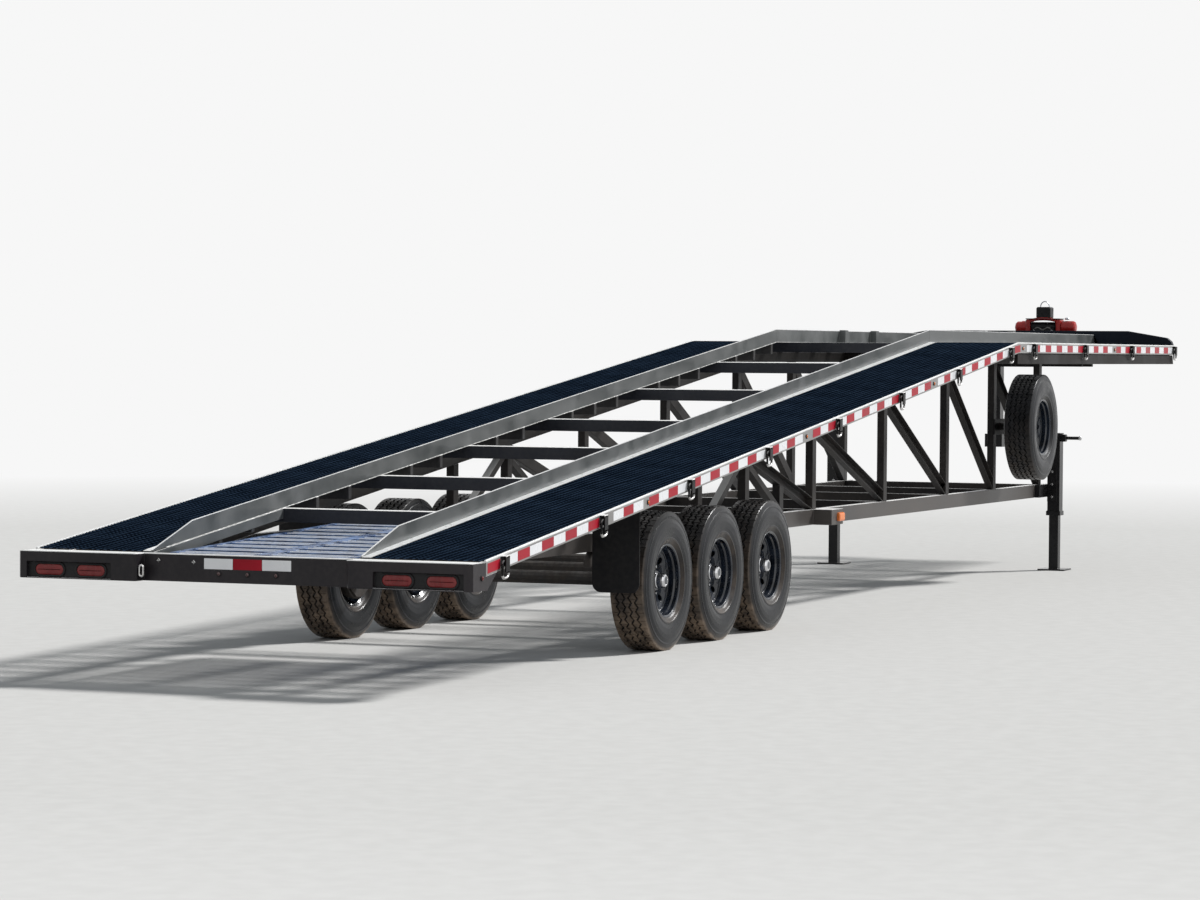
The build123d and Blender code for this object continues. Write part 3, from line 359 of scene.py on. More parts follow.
def make_group(name: str, inputs: dict[str, float], outputs: tuple[str, ...]) -> tuple[Bench, dict, bpy.types.Node]:
    """Starts a shared effect as a node group with named sockets.

    Args:
        name: The group's name.
        inputs: Its number inputs with their defaults.
        outputs: Its number outputs.

    Returns:
        The bench, the input sockets by name and the output node.
    """
    tree = bpy.data.node_groups.new(name, "ShaderNodeTree")
    for label, value in inputs.items():
        tree.interface.new_socket(label, in_out="INPUT", socket_type="NodeSocketFloat").default_value = value
    for label in outputs:
        tree.interface.new_socket(label, in_out="OUTPUT", socket_type="NodeSocketFloat")
    bench = Bench(tree)
    return bench, bench.node("NodeGroupInput").outputs, bench.node("NodeGroupOutput")


def weather_and_highlight_group() -> bpy.types.NodeTree:
    """Builds the shared weathering: soft patches, dust and a painted highlight on upward faces, and fine grain.

    Returns:
        The node group.
    """
    bench, given, out = make_group("weather", {"Scale": 3.0, "Grain": 220.0}, ("Patches", "Dust", "Grain", "Top"))
    place = bench.place()
    patches = bench.noise(place, given["Scale"], 7.0)
    specks = bench.noise(place, 38.0, 4.0)
    grain = bench.noise(place, given["Grain"], 2.0)
    normal = bench.node("ShaderNodeNewGeometry").outputs["Normal"]
    height = bench.node("ShaderNodeSeparateXYZ", {0: normal}).outputs[2]
    up = bench.span(height, 0.2, 1.0, 0.25, 1.0)
    dust = bench.math("MULTIPLY", up, bench.span(specks, 0.38, 0.68, 0.0, 1.0))
    links = bench.tree.links
    links.new(bench.span(patches, 0.34, 0.68, 0.0, 1.0), out.inputs["Patches"])
    links.new(dust, out.inputs["Dust"])
    links.new(grain, out.inputs["Grain"])
    # Top output: a painted highlight, stronger the more a face points up.
    links.new(bench.span(height, 0.45, 0.95, 0.0, 1.0), out.inputs["Top"])
    return bench.tree


def cells_group() -> bpy.types.NodeTree:
    """Builds the shared cell pattern of reflective sheet and moulded lenses.

    Returns:
        The node group.
    """
    bench, given, out = make_group("cells", {"Scale": 140.0}, ("Edges", "Tone"))
    inputs = {"Vector": bench.place(), "Scale": given["Scale"], "Randomness": 0.12}
    edges = bench.node("ShaderNodeTexVoronoi", inputs, feature="DISTANCE_TO_EDGE")
    tone = bench.node("ShaderNodeTexVoronoi", inputs)
    links = bench.tree.links
    links.new(bench.span(edges.outputs["Distance"], 0.02, 0.14, 1.0, 0.0), out.inputs["Edges"])
    links.new(bench.span(tone.outputs["Distance"], 0.0, 0.6, 0.0, 1.0), out.inputs["Tone"])
    return bench.tree


WEATHER_AND_HIGHLIGHT, CELLS = weather_and_highlight_group(), cells_group()


def rgba(colour: Colour) -> tuple[float, float, float, float]:
    """A colour with full alpha."""
    return (*colour, 1.0)


@dataclass(frozen=True)
class Paint:
    """A painted, plated or moulded finish that weathers in patches, gathers dust and takes a painted highlight on
    upward faces.
    """

    slot: str
    colour: Colour
    # Patch colour: wear in most finishes, a painted reflection in WHEEL and RAMP.
    worn: Colour
    rough: tuple[float, float] = (0.35, 0.55)
    metallic: float = 0.0
    coat: float = 0.0
    scale: float = 3.0
    dust: float = 0.12
    dust_colour: Colour = (0.30, 0.26, 0.22)
    bump: float = 0.08
    grain: float = 220.0
    # top and top_highlight_colour: a painted highlight, a pale colour laid on upward faces.
    top: float = 0.0
    top_highlight_colour: Colour = (0.80, 0.79, 0.77)
    specular: float = 0.5

    def build(self, name: str) -> bpy.types.Material:
        """Makes the material.

        Args:
            name: Its name, which must not be a slot's.

        Returns:
            The material.
        """
        made = bpy.data.materials.new(name)
        bench = fresh(made)
        weather = bench.node("ShaderNodeGroup", node_tree=WEATHER_AND_HIGHLIGHT)
        weather.inputs["Scale"].default_value, weather.inputs["Grain"].default_value = self.scale, self.grain
        patches, dust, grain, upward = weather.outputs[:4]
        colour = bench.mix(patches, rgba(self.colour), rgba(self.worn))
        # Painted highlight: upward faces lightened towards a pale colour.
        colour = bench.mix(bench.math("MULTIPLY", upward, self.top), colour, rgba(self.top_highlight_colour))
        colour = bench.mix(bench.math("MULTIPLY", dust, self.dust), colour, rgba(self.dust_colour))
        bump = bench.node("ShaderNodeBump", {"Height": grain, "Strength": self.bump, "Distance": 0.002})
        shader = bench.node("ShaderNodeBsdfPrincipled", {
            "Base Color": self.tone(bench, colour), "Metallic": self.metallic, "Coat Weight": self.coat,
            "Roughness": bench.span(patches, 0.0, 1.0, *self.rough), "Normal": bump.outputs[0],
            "Specular IOR Level": self.specular,
        })
        bench.node("ShaderNodeOutputMaterial", {0: shader.outputs[0]})
        return made

    def tone(self, bench: Bench, colour: Socket) -> Socket:
        """Leaves the colour as it is; other finishes change it here."""
        return colour


@dataclass(frozen=True)
class Sheeting(Paint):
    """Reflective tape and moulded lenses: small cells with paler or darker edges."""

    cells: float = 150.0
    cell_colour: Colour = (0.6, 0.6, 0.6)
    share: float = 0.35

    def tone(self, bench: Bench, colour: Socket) -> Socket:
        """Draws the cells over the colour.

        Args:
            bench: The material's bench.
            colour: The colour so far.

        Returns:
            The colour with cells.
        """
        cells = bench.node("ShaderNodeGroup", node_tree=CELLS)
        cells.inputs["Scale"].default_value = self.cells
        return bench.mix(bench.math("MULTIPLY", cells.outputs["Edges"], self.share), colour, rgba(self.cell_colour))


@dataclass(frozen=True)
class Strands(Paint):
    """Dark paint on expanded metal: long soft lighter streaks along the runway, a painted sheen on the strand rows."""

    sheen_streak: Colour = (0.046, 0.077, 0.128)
    pitch: float = 0.0381

    def tone(self, bench: Bench, colour: Socket) -> Socket:
        """Draws bands of painted sheen along the runway at half the diamonds' width.

        They are a sine across it, turned a little, that noise bends.

        Args:
            bench: The material's bench.
            colour: The colour so far.

        Returns:
            The colour with painted sheen streaks.
        """
        turned = {0: bench.place(), 2: (0.0, 0.0, 0.39), 3: (0.22, 1.0, 0.22)}
        squeezed = bench.node("ShaderNodeMapping", turned).outputs[0]
        bands = bench.node("ShaderNodeTexWave", {
            "Vector": squeezed, "Scale": pi / 10 / self.pitch, "Distortion": 3.2, "Detail": 3.0, "Detail Scale": 1.6,
        }, bands_direction="Y").outputs[1]
        return bench.mix(bench.span(bands, 0.46, 0.90, 0.0, 1.0), colour, rgba(self.sheen_streak))


@dataclass(frozen=True)
class Rubber(Paint):
    """Tyre rubber: brown dust where it meets the ground, stored as an attribute of the mesh."""

    road: Colour = (0.20, 0.150, 0.110)

    def tone(self, bench: Bench, colour: Socket) -> Socket:
        """Lays road dust over the tyre's lower half and in its tread.

        Args:
            bench: The material's bench.
            colour: The colour so far.

        Returns:
            The dusted colour.
        """
        noise = bench.noise(bench.place(), 14.0, 6.0)
        dirt = bench.node("ShaderNodeAttribute", attribute_name="dirt").outputs["Fac"]
        share = bench.math("MULTIPLY", dirt, bench.span(noise, 0.35, 0.7, 0.25, 1.0))
        return bench.mix(share, colour, rgba(self.road))


class Finish(Enum):
    """Every finish of the trailer."""

    # FRAME, BEAM, LOWER and JOIST are one frame paint in shaded and lit copies: FRAME and BEAM are darkened as painted
    # shade, LOWER and JOIST lightened as painted light.
    FRAME = Paint("frame_paint", (0.010, 0.0095, 0.010), (0.032, 0.028, 0.026), (0.34, 0.52),
                  scale=2.2, dust=0.10, top=0.5, specular=0.14)
    BEAM = Paint("frame_paint", (0.006, 0.0055, 0.006), (0.015, 0.013, 0.012), (0.40, 0.60),
                 scale=2.2, dust=0.08, specular=0.10)
    LOWER = Paint("frame_paint", (0.028, 0.026, 0.025), (0.088, 0.079, 0.073), (0.26, 0.44),
                  metallic=0.1, scale=1.1, dust=0.08, top=1.0, specular=0.28)
    JOIST = Paint("frame_paint", (0.030, 0.030, 0.032), (0.060, 0.058, 0.057), (0.30, 0.50),
                  scale=2.2, dust=0.12, top=1.0, specular=0.25)
    # CROSS: the rail paint darkened as painted shade on the cross-members' webs.
    CROSS = Paint("rail_paint", (0.012, 0.014, 0.020), (0.030, 0.032, 0.040), (0.30, 0.50),
                  scale=2.2, dust=0.10, top=1.0, specular=0.25)
    RAIL = Paint("rail_paint", (0.20, 0.195, 0.19), (0.31, 0.30, 0.29), (0.26, 0.44),
                 metallic=0.4, coat=0.2, scale=1.6, dust=0.10, top=1.0)
    INNER = Paint("rail_paint", (0.085, 0.093, 0.093), (0.140, 0.146, 0.146), (0.30, 0.52),
                  metallic=0.3, coat=0.1, scale=5.0, dust=0.10, top=1.0)
    # EDGE: near-white painted highlight on the rails' top edges, the inner rails' feet and the bumper's lips.
    EDGE = Paint("rail_paint", (0.86, 0.86, 0.85), (0.66, 0.66, 0.65), (0.25, 0.42),
                 metallic=0.15, scale=9.0, dust=0.12)
    BUMPER = Paint("rail_paint", (0.011, 0.0095, 0.012), (0.025, 0.0215, 0.024), (0.28, 0.44),
                   scale=1.8, dust=0.08, top=1.0, specular=0.22)
    # DECK: its lighter streaks are a painted sheen on the strand rows.
    DECK = Strands("deck_paint", (0.0035, 0.0080, 0.0160), (0.010, 0.018, 0.032), (0.60, 0.80),
                   scale=0.8, dust=0.02, specular=0.0, bump=0.0)
    HEADER = Paint("deck_paint", (0.003, 0.005, 0.010), (0.009, 0.013, 0.022), (0.40, 0.60),
                   scale=0.8, dust=0.03, specular=0.1)
    BLACK = Paint("gloss_black", (0.004, 0.004, 0.005), (0.010, 0.010, 0.011), (0.16, 0.30),
                  specular=0.22, dust=0.05)
    # WHEEL: its bluish patch colour is a painted reflection of the sky on gloss black.
    WHEEL = Paint("wheel_paint", (0.003, 0.005, 0.009), (0.013, 0.020, 0.034), (0.10, 0.24),
                  coat=0.35, scale=9.0, dust=0.06, specular=0.4)
    CHROME = Paint("wheel_paint", (0.72, 0.73, 0.76), (0.55, 0.55, 0.56), (0.08, 0.22),
                   metallic=1.0, dust=0.12, scale=12.0)
    IRON = Paint("wheel_paint", (0.016, 0.014, 0.013), (0.034, 0.026, 0.021), (0.6, 0.8),
                 dust=0.15, scale=14.0, bump=0.4)
    PLATED = Paint("gloss_black", (0.62, 0.62, 0.63), (0.42, 0.42, 0.42), (0.18, 0.34),
                   metallic=1.0, dust=0.15, scale=20.0)
    BOLT = Paint("rail_paint", (0.60, 0.60, 0.60), (0.40, 0.39, 0.37), (0.2, 0.4),
                 metallic=1.0, dust=0.2, scale=30.0)
    CLIP = Paint("ring_steel", (0.003, 0.003, 0.004), (0.010, 0.009, 0.009), (0.20, 0.36),
                 scale=16.0, dust=0.05, top=0.9, specular=0.12)
    # WORN: pale steel as a painted highlight on the clips' lips and the rings' lower bends.
    WORN = Paint("ring_steel", (0.34, 0.33, 0.32), (0.62, 0.61, 0.60), (0.22, 0.40),
                 metallic=0.5, scale=30.0, dust=0.05)
    FLAP = Paint("rubber", (0.004, 0.004, 0.005), (0.009, 0.009, 0.010), (0.55, 0.75),
                 dust=0.08, scale=5.0, bump=0.15, specular=0.2)
    GROMMET = Paint("lamp_red", (0.004, 0.004, 0.005), (0.010, 0.010, 0.011), (0.45, 0.65),
                    dust=0.05, scale=20.0, bump=0.2, specular=0.25)
    LENS_DARK = Paint("lamp_red", (0.045, 0.006, 0.008), (0.085, 0.012, 0.014), (0.12, 0.28),
                      coat=0.6, scale=30.0, dust=0.10)
    # RAMP: its blues are a painted sky reflection on the ramps' bare metal.
    RAMP = Paint("ramp_steel", (0.010, 0.028, 0.085), (0.135, 0.215, 0.390), (0.18, 0.40),
                 scale=12.0, dust=0.03, bump=0.25, specular=0.25)
    # RAMP_EDGE: near-white painted highlight on the ramps' rung ridges.
    RAMP_EDGE = Paint("ramp_steel", (0.80, 0.82, 0.86), (0.60, 0.65, 0.74), (0.20, 0.40),
                      metallic=0.3, scale=11.0, dust=0.10, bump=0.25)
    WELD = Paint("rail_paint", (0.42, 0.42, 0.41), (0.62, 0.62, 0.60), (0.3, 0.5),
                 metallic=0.8, scale=40.0, bump=0.5)
    WINCH_RED = Paint("winch_paint", (0.33, 0.009, 0.009), (0.43, 0.020, 0.017), (0.2, 0.34),
                      coat=0.1, scale=12.0, dust=0.05, specular=0.25)
    WINCH_BLACK = Paint("winch_paint", (0.004, 0.004, 0.005), (0.012, 0.012, 0.013), (0.3, 0.5),
                        scale=18.0, dust=0.06, specular=0.15)
    WINCH_SILVER = Paint("winch_paint", (0.55, 0.57, 0.62), (0.42, 0.43, 0.46), (0.22, 0.38),
                         metallic=0.9, scale=18.0)
    ROPE = Paint("winch_paint", (0.20, 0.19, 0.175), (0.13, 0.125, 0.115), (0.6, 0.8),
                 scale=60.0, bump=0.6, grain=420.0)
    TAPE_RED = Sheeting("rail_paint", (0.27, 0.003, 0.012), (0.36, 0.007, 0.020), (0.28, 0.42),
                        scale=5.0, dust=0.02, cell_colour=(0.42, 0.020, 0.038), share=0.35, specular=0.15)
    TAPE_WHITE = Sheeting("rail_paint", (0.84, 0.84, 0.84), (0.74, 0.74, 0.75), (0.22, 0.36),
                          coat=0.2, scale=5.0, dust=0.06, cell_colour=(0.60, 0.61, 0.64), share=0.35)
    LENS_RED = Sheeting("lamp_red", (0.13, 0.008, 0.010), (0.20, 0.024, 0.024), (0.22, 0.40),
                        scale=12.0, dust=0.25, dust_colour=(0.40, 0.24, 0.21), cells=210.0,
                        cell_colour=(0.32, 0.045, 0.045), share=0.5, specular=0.3)
    LENS_AMBER = Sheeting("lamp_amber", (0.66, 0.115, 0.010), (0.80, 0.19, 0.020), (0.16, 0.30),
                          coat=0.2, scale=16.0, dust=0.06, cells=260.0, cell_colour=(0.95, 0.34, 0.07), share=0.35)
    TYRE = Rubber("tyre", (0.004, 0.005, 0.0065), (0.011, 0.012, 0.015), (0.24, 0.40),
                  scale=10.0, dust=0.02, bump=0.10, specular=0.22)

    def material(self) -> bpy.types.Material:
        """Gives the finish's material, made the first time that it is asked for."""
        name = f"look_{self.name.lower()}"
        return bpy.data.materials.get(name) or self.value.build(name)


def dress(piece: bpy.types.Object, body: str, *finishes: Finish) -> bpy.types.Object:
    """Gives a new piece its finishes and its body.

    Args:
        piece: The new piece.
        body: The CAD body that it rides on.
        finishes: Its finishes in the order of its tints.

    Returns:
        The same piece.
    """
    for finish in finishes:
        piece.data.materials.append(finish.material())
    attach(piece, body)
    LOG.info("piece %s: %d faces", piece.name, len(piece.data.polygons))
    return piece


@dataclass
class Framework:
    """The welded frame, bumper, axles and other plain pieces, with rounded edges and their finishes."""

    rounding: float = 0.0035
    sharp: float = 25.0  # least angle of an edge that is rounded, in degrees
    pierced: tuple[str, ...] = ("rear_bumper", "loading_ramps", "jack_tubes", "coupler", "axles", "spare_carrier")
    table: dict[Finish, tuple[str, ...]] = field(default_factory=lambda: {
        Finish.LOWER: ("lower_rails",),
        Finish.FRAME: ("ramp_frame_rails", "truss_posts", "truss_diagonals", "frame_cross_members"),
        Finish.BEAM: ("deck_edge_beams", "neck_rails", "spare_carrier", "neck_cross_beams", "ramp_bearers",
                      "mud_flap_bars"),
        Finish.JOIST: ("ramp_joists", "deck_joists"),
        Finish.CROSS: ("deck_cross_members",),
        Finish.INNER: ("ramp_inner_rails", "deck_inner_rails"),
        Finish.RAIL: ("ramp_side_rails", "deck_side_rails"),
        Finish.BUMPER: ("rear_bumper",),
        Finish.HEADER: ("front_header",),
        Finish.BLACK: ("jack_tubes", "jack_legs", "winch_shelf", "coupler"),
        Finish.IRON: ("axles", "leaf_springs", "spring_hangers"),
        Finish.RAMP: ("loading_ramps",),
    })

    def soften(self, name: str, finish: Finish) -> None:
        """Puts a copy with rounded edges in a node's place.

        Args:
            name: The node's name.
            finish: Its finish.
        """
        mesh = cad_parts[name].data.copy()
        mesh.materials.clear()
        work = bmesh.new()
        work.from_mesh(mesh)
        bmesh.ops.remove_doubles(work, verts=work.verts, dist=1e-5)
        if name not in self.pierced:
            bmesh.ops.dissolve_limit(work, angle_limit=radians(1), verts=work.verts, edges=work.edges)
        for face in work.faces:
            face.smooth = False
        work.to_mesh(mesh)
        work.free()
        piece = linked(f"rounded_{name}", mesh)
        bevel = piece.modifiers.new("rounding", "BEVEL")
        bevel.width, bevel.segments, bevel.angle_limit = self.rounding, 2, radians(self.sharp)
        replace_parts(dress(piece, "trailer", finish), name)

    def build(self) -> None:
        """Rounds and paints every node of the table."""
        for finish, names in self.table.items():
            for name in names:
                self.soften(name, finish)


@dataclass
class Decking:
    """Runways of raised expanded metal: zigzag strands across each runway that meet in diamonds."""

    inner: float = 0.656
    outer: float = 1.2815
    short_way: float = 0.0339
    long_way: float = 0.0762
    swing: float = 0.95
    strand: Outline = ((-0.0030, 0.0010), (0.0006, 0.0002), (0.0030, 0.0050), (-0.0006, 0.0058))

    def runway(self, start: float, end: float, side: Side) -> Surface:
        """Builds one runway.

        A strand's station swings a quarter of the short way to each side of its middle at every half
        of the long way, and its neighbours swing the other way.

        Args:
            start: Station of its rear end.
            end: Station of its front end.
            side: The trailer's side.

        Returns:
            The strands.
        """
        rows = int((end - start) / (self.short_way / 2)) - 1
        columns = round((self.outer - self.inner) / (self.long_way / 2)) + 1
        row, column = np.arange(rows)[:, None, None], np.arange(columns)[None, :, None]
        corner = np.array(self.strand)
        swing = self.swing * self.short_way / 4 * (1 - 2 * ((row + column) % 2))
        station = start + (row + 1) * self.short_way / 2 + swing + corner[None, None, :, 0]
        across = np.broadcast_to(np.linspace(self.inner, self.outer, columns)[None, :, None], station.shape)
        height = np.broadcast_to(corner[None, None, :, 1], station.shape)
        surface = Surface()
        surface.tubes(LINE.lift(np.stack((station, side.value * across, height), -1)))
        return surface

    def build(self) -> None:
        """Builds the four runways in place of the plain sheets."""
        spans = (("ramp_decking", LINE.start, LINE.bend), ("upper_decking", LINE.bend, LINE.length - LINE.header))
        for node, start, end in spans:
            for side in Side:
                surface = self.runway(start, end, side)
                piece = surface.build(f"{node}_{side.name.lower()}", merge=False)
                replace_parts(dress(piece, "trailer", Finish.DECK), node)


@dataclass
class Tape:
    """Red and white reflective tape along the side rails and on the bumper."""

    height: float = 0.051
    thickness: float = 0.0008
    gap: float = 0.001
    corner: float = 0.001
    bevel: float = 0.0003
    short_cell: float = 0.147
    clip_room: float = 0.031
    lamp_room: float = 0.070
    first: tuple[float, float] = (0.186, 0.343)
    bays: tuple[str, ...] = ("WRWRWRWR", "WRW RWRW", "RWRWRWRW", "RWRW RWR", "WRWRWRWR", "WRWR WRW",
                             "RWRWRWRW", "R W", "RWRWRWRWR", "WRWRW RWR", "WRWRWRWRW")
    bumper: tuple[tuple[float, str], ...] = ((0.167, "W"), (0.0, "R"), (-0.167, "W"))
    bumper_cell: Point = (0.165, 0.055, 0.618)  # width, height, height of its middle

    def cells(self) -> list[tuple[float, float, str]]:
        """Works out one side's cells: a bay is filled forward of its rear ring, or up to its lamp and after it.

        Returns:
            Rows of start, end and letter.
        """
        rows = [(*self.first, "R")]
        for bay, back, front in zip(self.bays, LINE.rings[:-1], LINE.rings[1:]):
            size = self.short_cell if " " in bay else (front - back - 2 * self.clip_room) / len(bay)
            behind, _, ahead = bay.partition(" ")
            lamp = min(LINE.lamps, key=lambda place: abs(place - (back + front) / 2))
            first = lamp - self.lamp_room - size * len(behind) if ahead else back + self.clip_room
            starts = [first + size * number for number in range(len(behind))]
            starts += [front - self.clip_room - size * (len(ahead) - number) for number in range(len(ahead))]
            rows += [(start, start + size, letter) for start, letter in zip(starts, behind + ahead)]
        return rows

    def build(self) -> None:
        """Builds the red tape and the white tape."""
        width, height, level = self.bumper_cell
        back = LINE.rear + LINE.recess - self.thickness
        for letter, finish in (("R", Finish.TAPE_RED), ("W", Finish.TAPE_WHITE)):
            surface = Surface()
            for start, end, kind in self.cells():
                if kind == letter:
                    outline = rounded(end - start - self.gap, self.height, self.corner, 1)
                    outline = outline + np.array(((start + end) / 2, LINE.tape))
                    bar = prism(outline, LINE.half_width, LINE.half_width + self.thickness, Along.Y, self.bevel)
                    surface.tubes(both(LINE.lift(bar)))
            for middle, kind in self.bumper:
                if kind == letter:
                    outline = rounded(width, height, self.corner, 1) + np.array((middle, level))
                    surface.tubes(prism(outline, back, back + self.thickness, Along.X, self.bevel))
            dress(surface.build(f"tape_{finish.name[5:].lower()}"), "trailer", finish)


@dataclass
class TieDowns:
    """Clips on the side rails, each with a ring behind its hanging plate."""

    reach: float = 0.030
    height: float = 0.080
    wall: float = 0.008
    fold: float = 0.004  # what the fold takes off the corners
    bevel: float = 0.002
    half_length: float = 0.025
    ring: Point = (0.077, 0.087, 0.024)  # width, height, corner
    ring_middle: float = -0.070
    ring_room: float = 0.0066  # from the hanging plate to the middle of the ring's bar
    bar: float = 0.0062
    highlight_rise: float = 0.0004  # how far the pale strip on the lower bend, a painted highlight, stands out of the bar
    web: Point = (-0.004, -0.058, -0.070)  # heights of its top, and of its lower edge at the rail and the plate
    web_ends: tuple[float, float] = (0.010, 0.002)  # from the clip's front end
    web_bite: float = 0.001  # how far it goes into the plate
    lip: Outline = ((-0.008, 0), (-0.008, -0.002), (0, -0.010), (0, -0.003), (-0.003, 0))

    def build(self) -> None:
        """Builds all the clips and rings in place of the plain ones, each clip with a web behind its ring."""
        inner, outer = LINE.half_width, LINE.half_width + self.reach
        plate, wall, fold = outer - self.wall, self.wall, self.fold
        outline = np.array(((inner, 0), (inner, -wall), (plate - fold, -wall), (plate, -wall - fold),
                            (plate, -self.height), (outer, -self.height), (outer, -fold), (outer - fold, 0)))
        clip = prism(outline, -self.half_length, self.half_length, Along.X, self.bevel)
        loop = rounded(*self.ring, 6)
        path = np.stack((loop[:, 0], np.full(len(loop), plate - self.ring_room), loop[:, 1] + self.ring_middle), -1)
        ring = pipe(path, self.bar, (0, 1, 0), 10)
        places = np.array([(station, 0, 0) for station in LINE.rings])
        (top, rail_edge, plate_edge), end = self.web, plate + self.web_bite
        web = prism(np.array(((inner, top), (inner, rail_edge), (end, plate_edge), (end, top))),
                    *(self.half_length - room for room in self.web_ends), Along.X)
        edge = np.array(self.lip) + np.array((outer, 0))
        lip = prism(edge, -self.half_length, self.half_length, Along.X, self.bevel)
        # The pale strip on the ring's lower bend and the clip's lip (tint 1) are a painted highlight.
        worn = pipe(path[path[:, 2] < self.ring_middle - self.ring[1] / 4], self.bar + self.highlight_rise, (0, 1, 0), 10)
        surface = Surface()
        shapes = ((clip, False, 0), (web, False, 0), (ring, True, 0), (lip, False, 1), (worn, False, 1))
        for shape, closed, tint in shapes:
            surface.tubes(both(LINE.lift(placed(shape, places))), closed=closed, tint=tint)
        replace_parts(dress(surface.build("rings_and_clips"), "trailer", Finish.CLIP, Finish.WORN), "tie_down_rings")


@dataclass
class Tyre:
    """A tyre with five blocky ribs between zigzag grooves."""

    radius: float = 0.403
    half_tread: float = 0.095
    grooves: tuple[float, ...] = (-0.057, -0.019, 0.019, 0.057)
    groove: Point = (0.0125, 0.013, 0.002)  # width, depth, lean of its walls
    swing: float = 0.0090
    notch: float = 0.0035
    pitches: int = 46
    dusty: tuple[float, float] = (0.397, 0.245)  # radius of the tread's face, radius of the bead
    dust_heights: tuple[float, float] = (0.42, 0.75)  # dust at the axle's height, its gain one radius lower
    dust_shoulder: Point = (0.36, 0.04, 0.3)  # inner radius, width, share
    dust_tread: float = 0.12
    dust_bead: float = 0.3
    phases: tuple[float, ...] = (0.0, 0.02, 0.12, 0.14, 0.5, 0.52, 0.62, 0.64)
    sidewall: Outline = (
        (0.3985, 0.0985), (0.384, 0.1045), (0.372, 0.1080), (0.368, 0.1105), (0.362, 0.1110), (0.358, 0.1100),
        (0.335, 0.1155), (0.310, 0.1172), (0.275, 0.1150), (0.252, 0.1110), (0.248, 0.1125), (0.240, 0.1120),
        (0.236, 0.1090), (0.222, 0.1010), (0.206, 0.0890))

    def section(self) -> np.ndarray:
        """Draws the closed section: down one sidewall, across the tread with its grooves, down the other.

        Returns:
            Rows of radius, distance across, swing direction and notch kind: 1 at the shoulders and the
            middle rib, 2 on the ribs between, 0 elsewhere.
        """
        width, depth, lean = self.groove
        wall = [(radius, across, 0, 0) for radius, across in self.sidewall]
        tread = [(self.radius, -self.half_tread, 0, 1)]
        for number, middle in enumerate(self.grooves):
            way = 1 if number % 2 else -1
            kinds = (1, 2) if number in (0, 2) else (2, 1)
            tread += [(self.radius, middle - width / 2, way, kinds[0]),
                      (self.radius - depth, middle - width / 2 + lean, way, 0),
                      (self.radius - depth, middle + width / 2 - lean, way, 0),
                      (self.radius, middle + width / 2, way, kinds[1])]
        tread.append((self.radius, self.half_tread, 0, 1))
        left = [(radius, -across, swing, kind) for radius, across, swing, kind in reversed(wall)]
        return np.array(left + tread + wall)

    def build(self, name: str, centre: Point, body: str, node: str, dust: float) -> None:
        """Builds one tyre.

        Every point's radius is its section's, less a notch at some of the pitch's steps, and its
        distance across moves with a triangle wave round the tyre where a groove swings.

        Args:
            name: The piece's name.
            centre: The wheel's middle.
            body: The body that it rides on.
            node: The CAD node that it stands for.
            dust: How much road dust it carries, from 0 to 1.
        """
        radius, across, way, kind = self.section().T[:, None, :]
        phase = np.tile(self.phases, self.pitches)[:, None]
        angle = (np.repeat(np.arange(self.pitches), len(self.phases))[:, None] + phase) * 2 * pi / self.pitches
        step = np.tile(np.arange(len(self.phases)), self.pitches)[:, None]
        wave = 1 - 4 * np.abs(phase - 0.5)
        low = ((kind == 1) & ((step == 1) | (step == 2))) | ((kind == 2) & ((step == 5) | (step == 6)))
        shaped = radius - self.notch * low
        y = across + way * self.swing * wave
        points = np.stack((shaped * np.cos(angle), y + 0 * angle, shaped * np.sin(angle)), -1)[None]
        surface = Surface()
        surface.tubes(points + np.array(centre), closed=True)
        piece = surface.build(name)
        coordinates = np.empty(len(piece.data.vertices) * 3, np.float32)
        piece.data.vertices.foreach_get("co", coordinates)
        local = coordinates.reshape(-1, 3) - np.array(centre, np.float32)
        reach = np.hypot(local[:, 0], local[:, 2])
        (level, gain), (start, width, share) = self.dust_heights, self.dust_shoulder
        lower = np.clip(level - gain * local[:, 2] / self.radius, 0, 1)
        tread, bead = self.dusty
        shoulder = np.clip((reach - start) / width, 0, 1) * lower * share
        dirt = dust * ((reach > tread) * (lower + self.dust_tread) + shoulder + (reach < bead) * self.dust_bead)
        piece.data.attributes.new("dirt", "FLOAT", "POINT").data.foreach_set("value", dirt.astype(np.float32))
        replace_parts(dress(piece, body, Finish.TYRE), node)


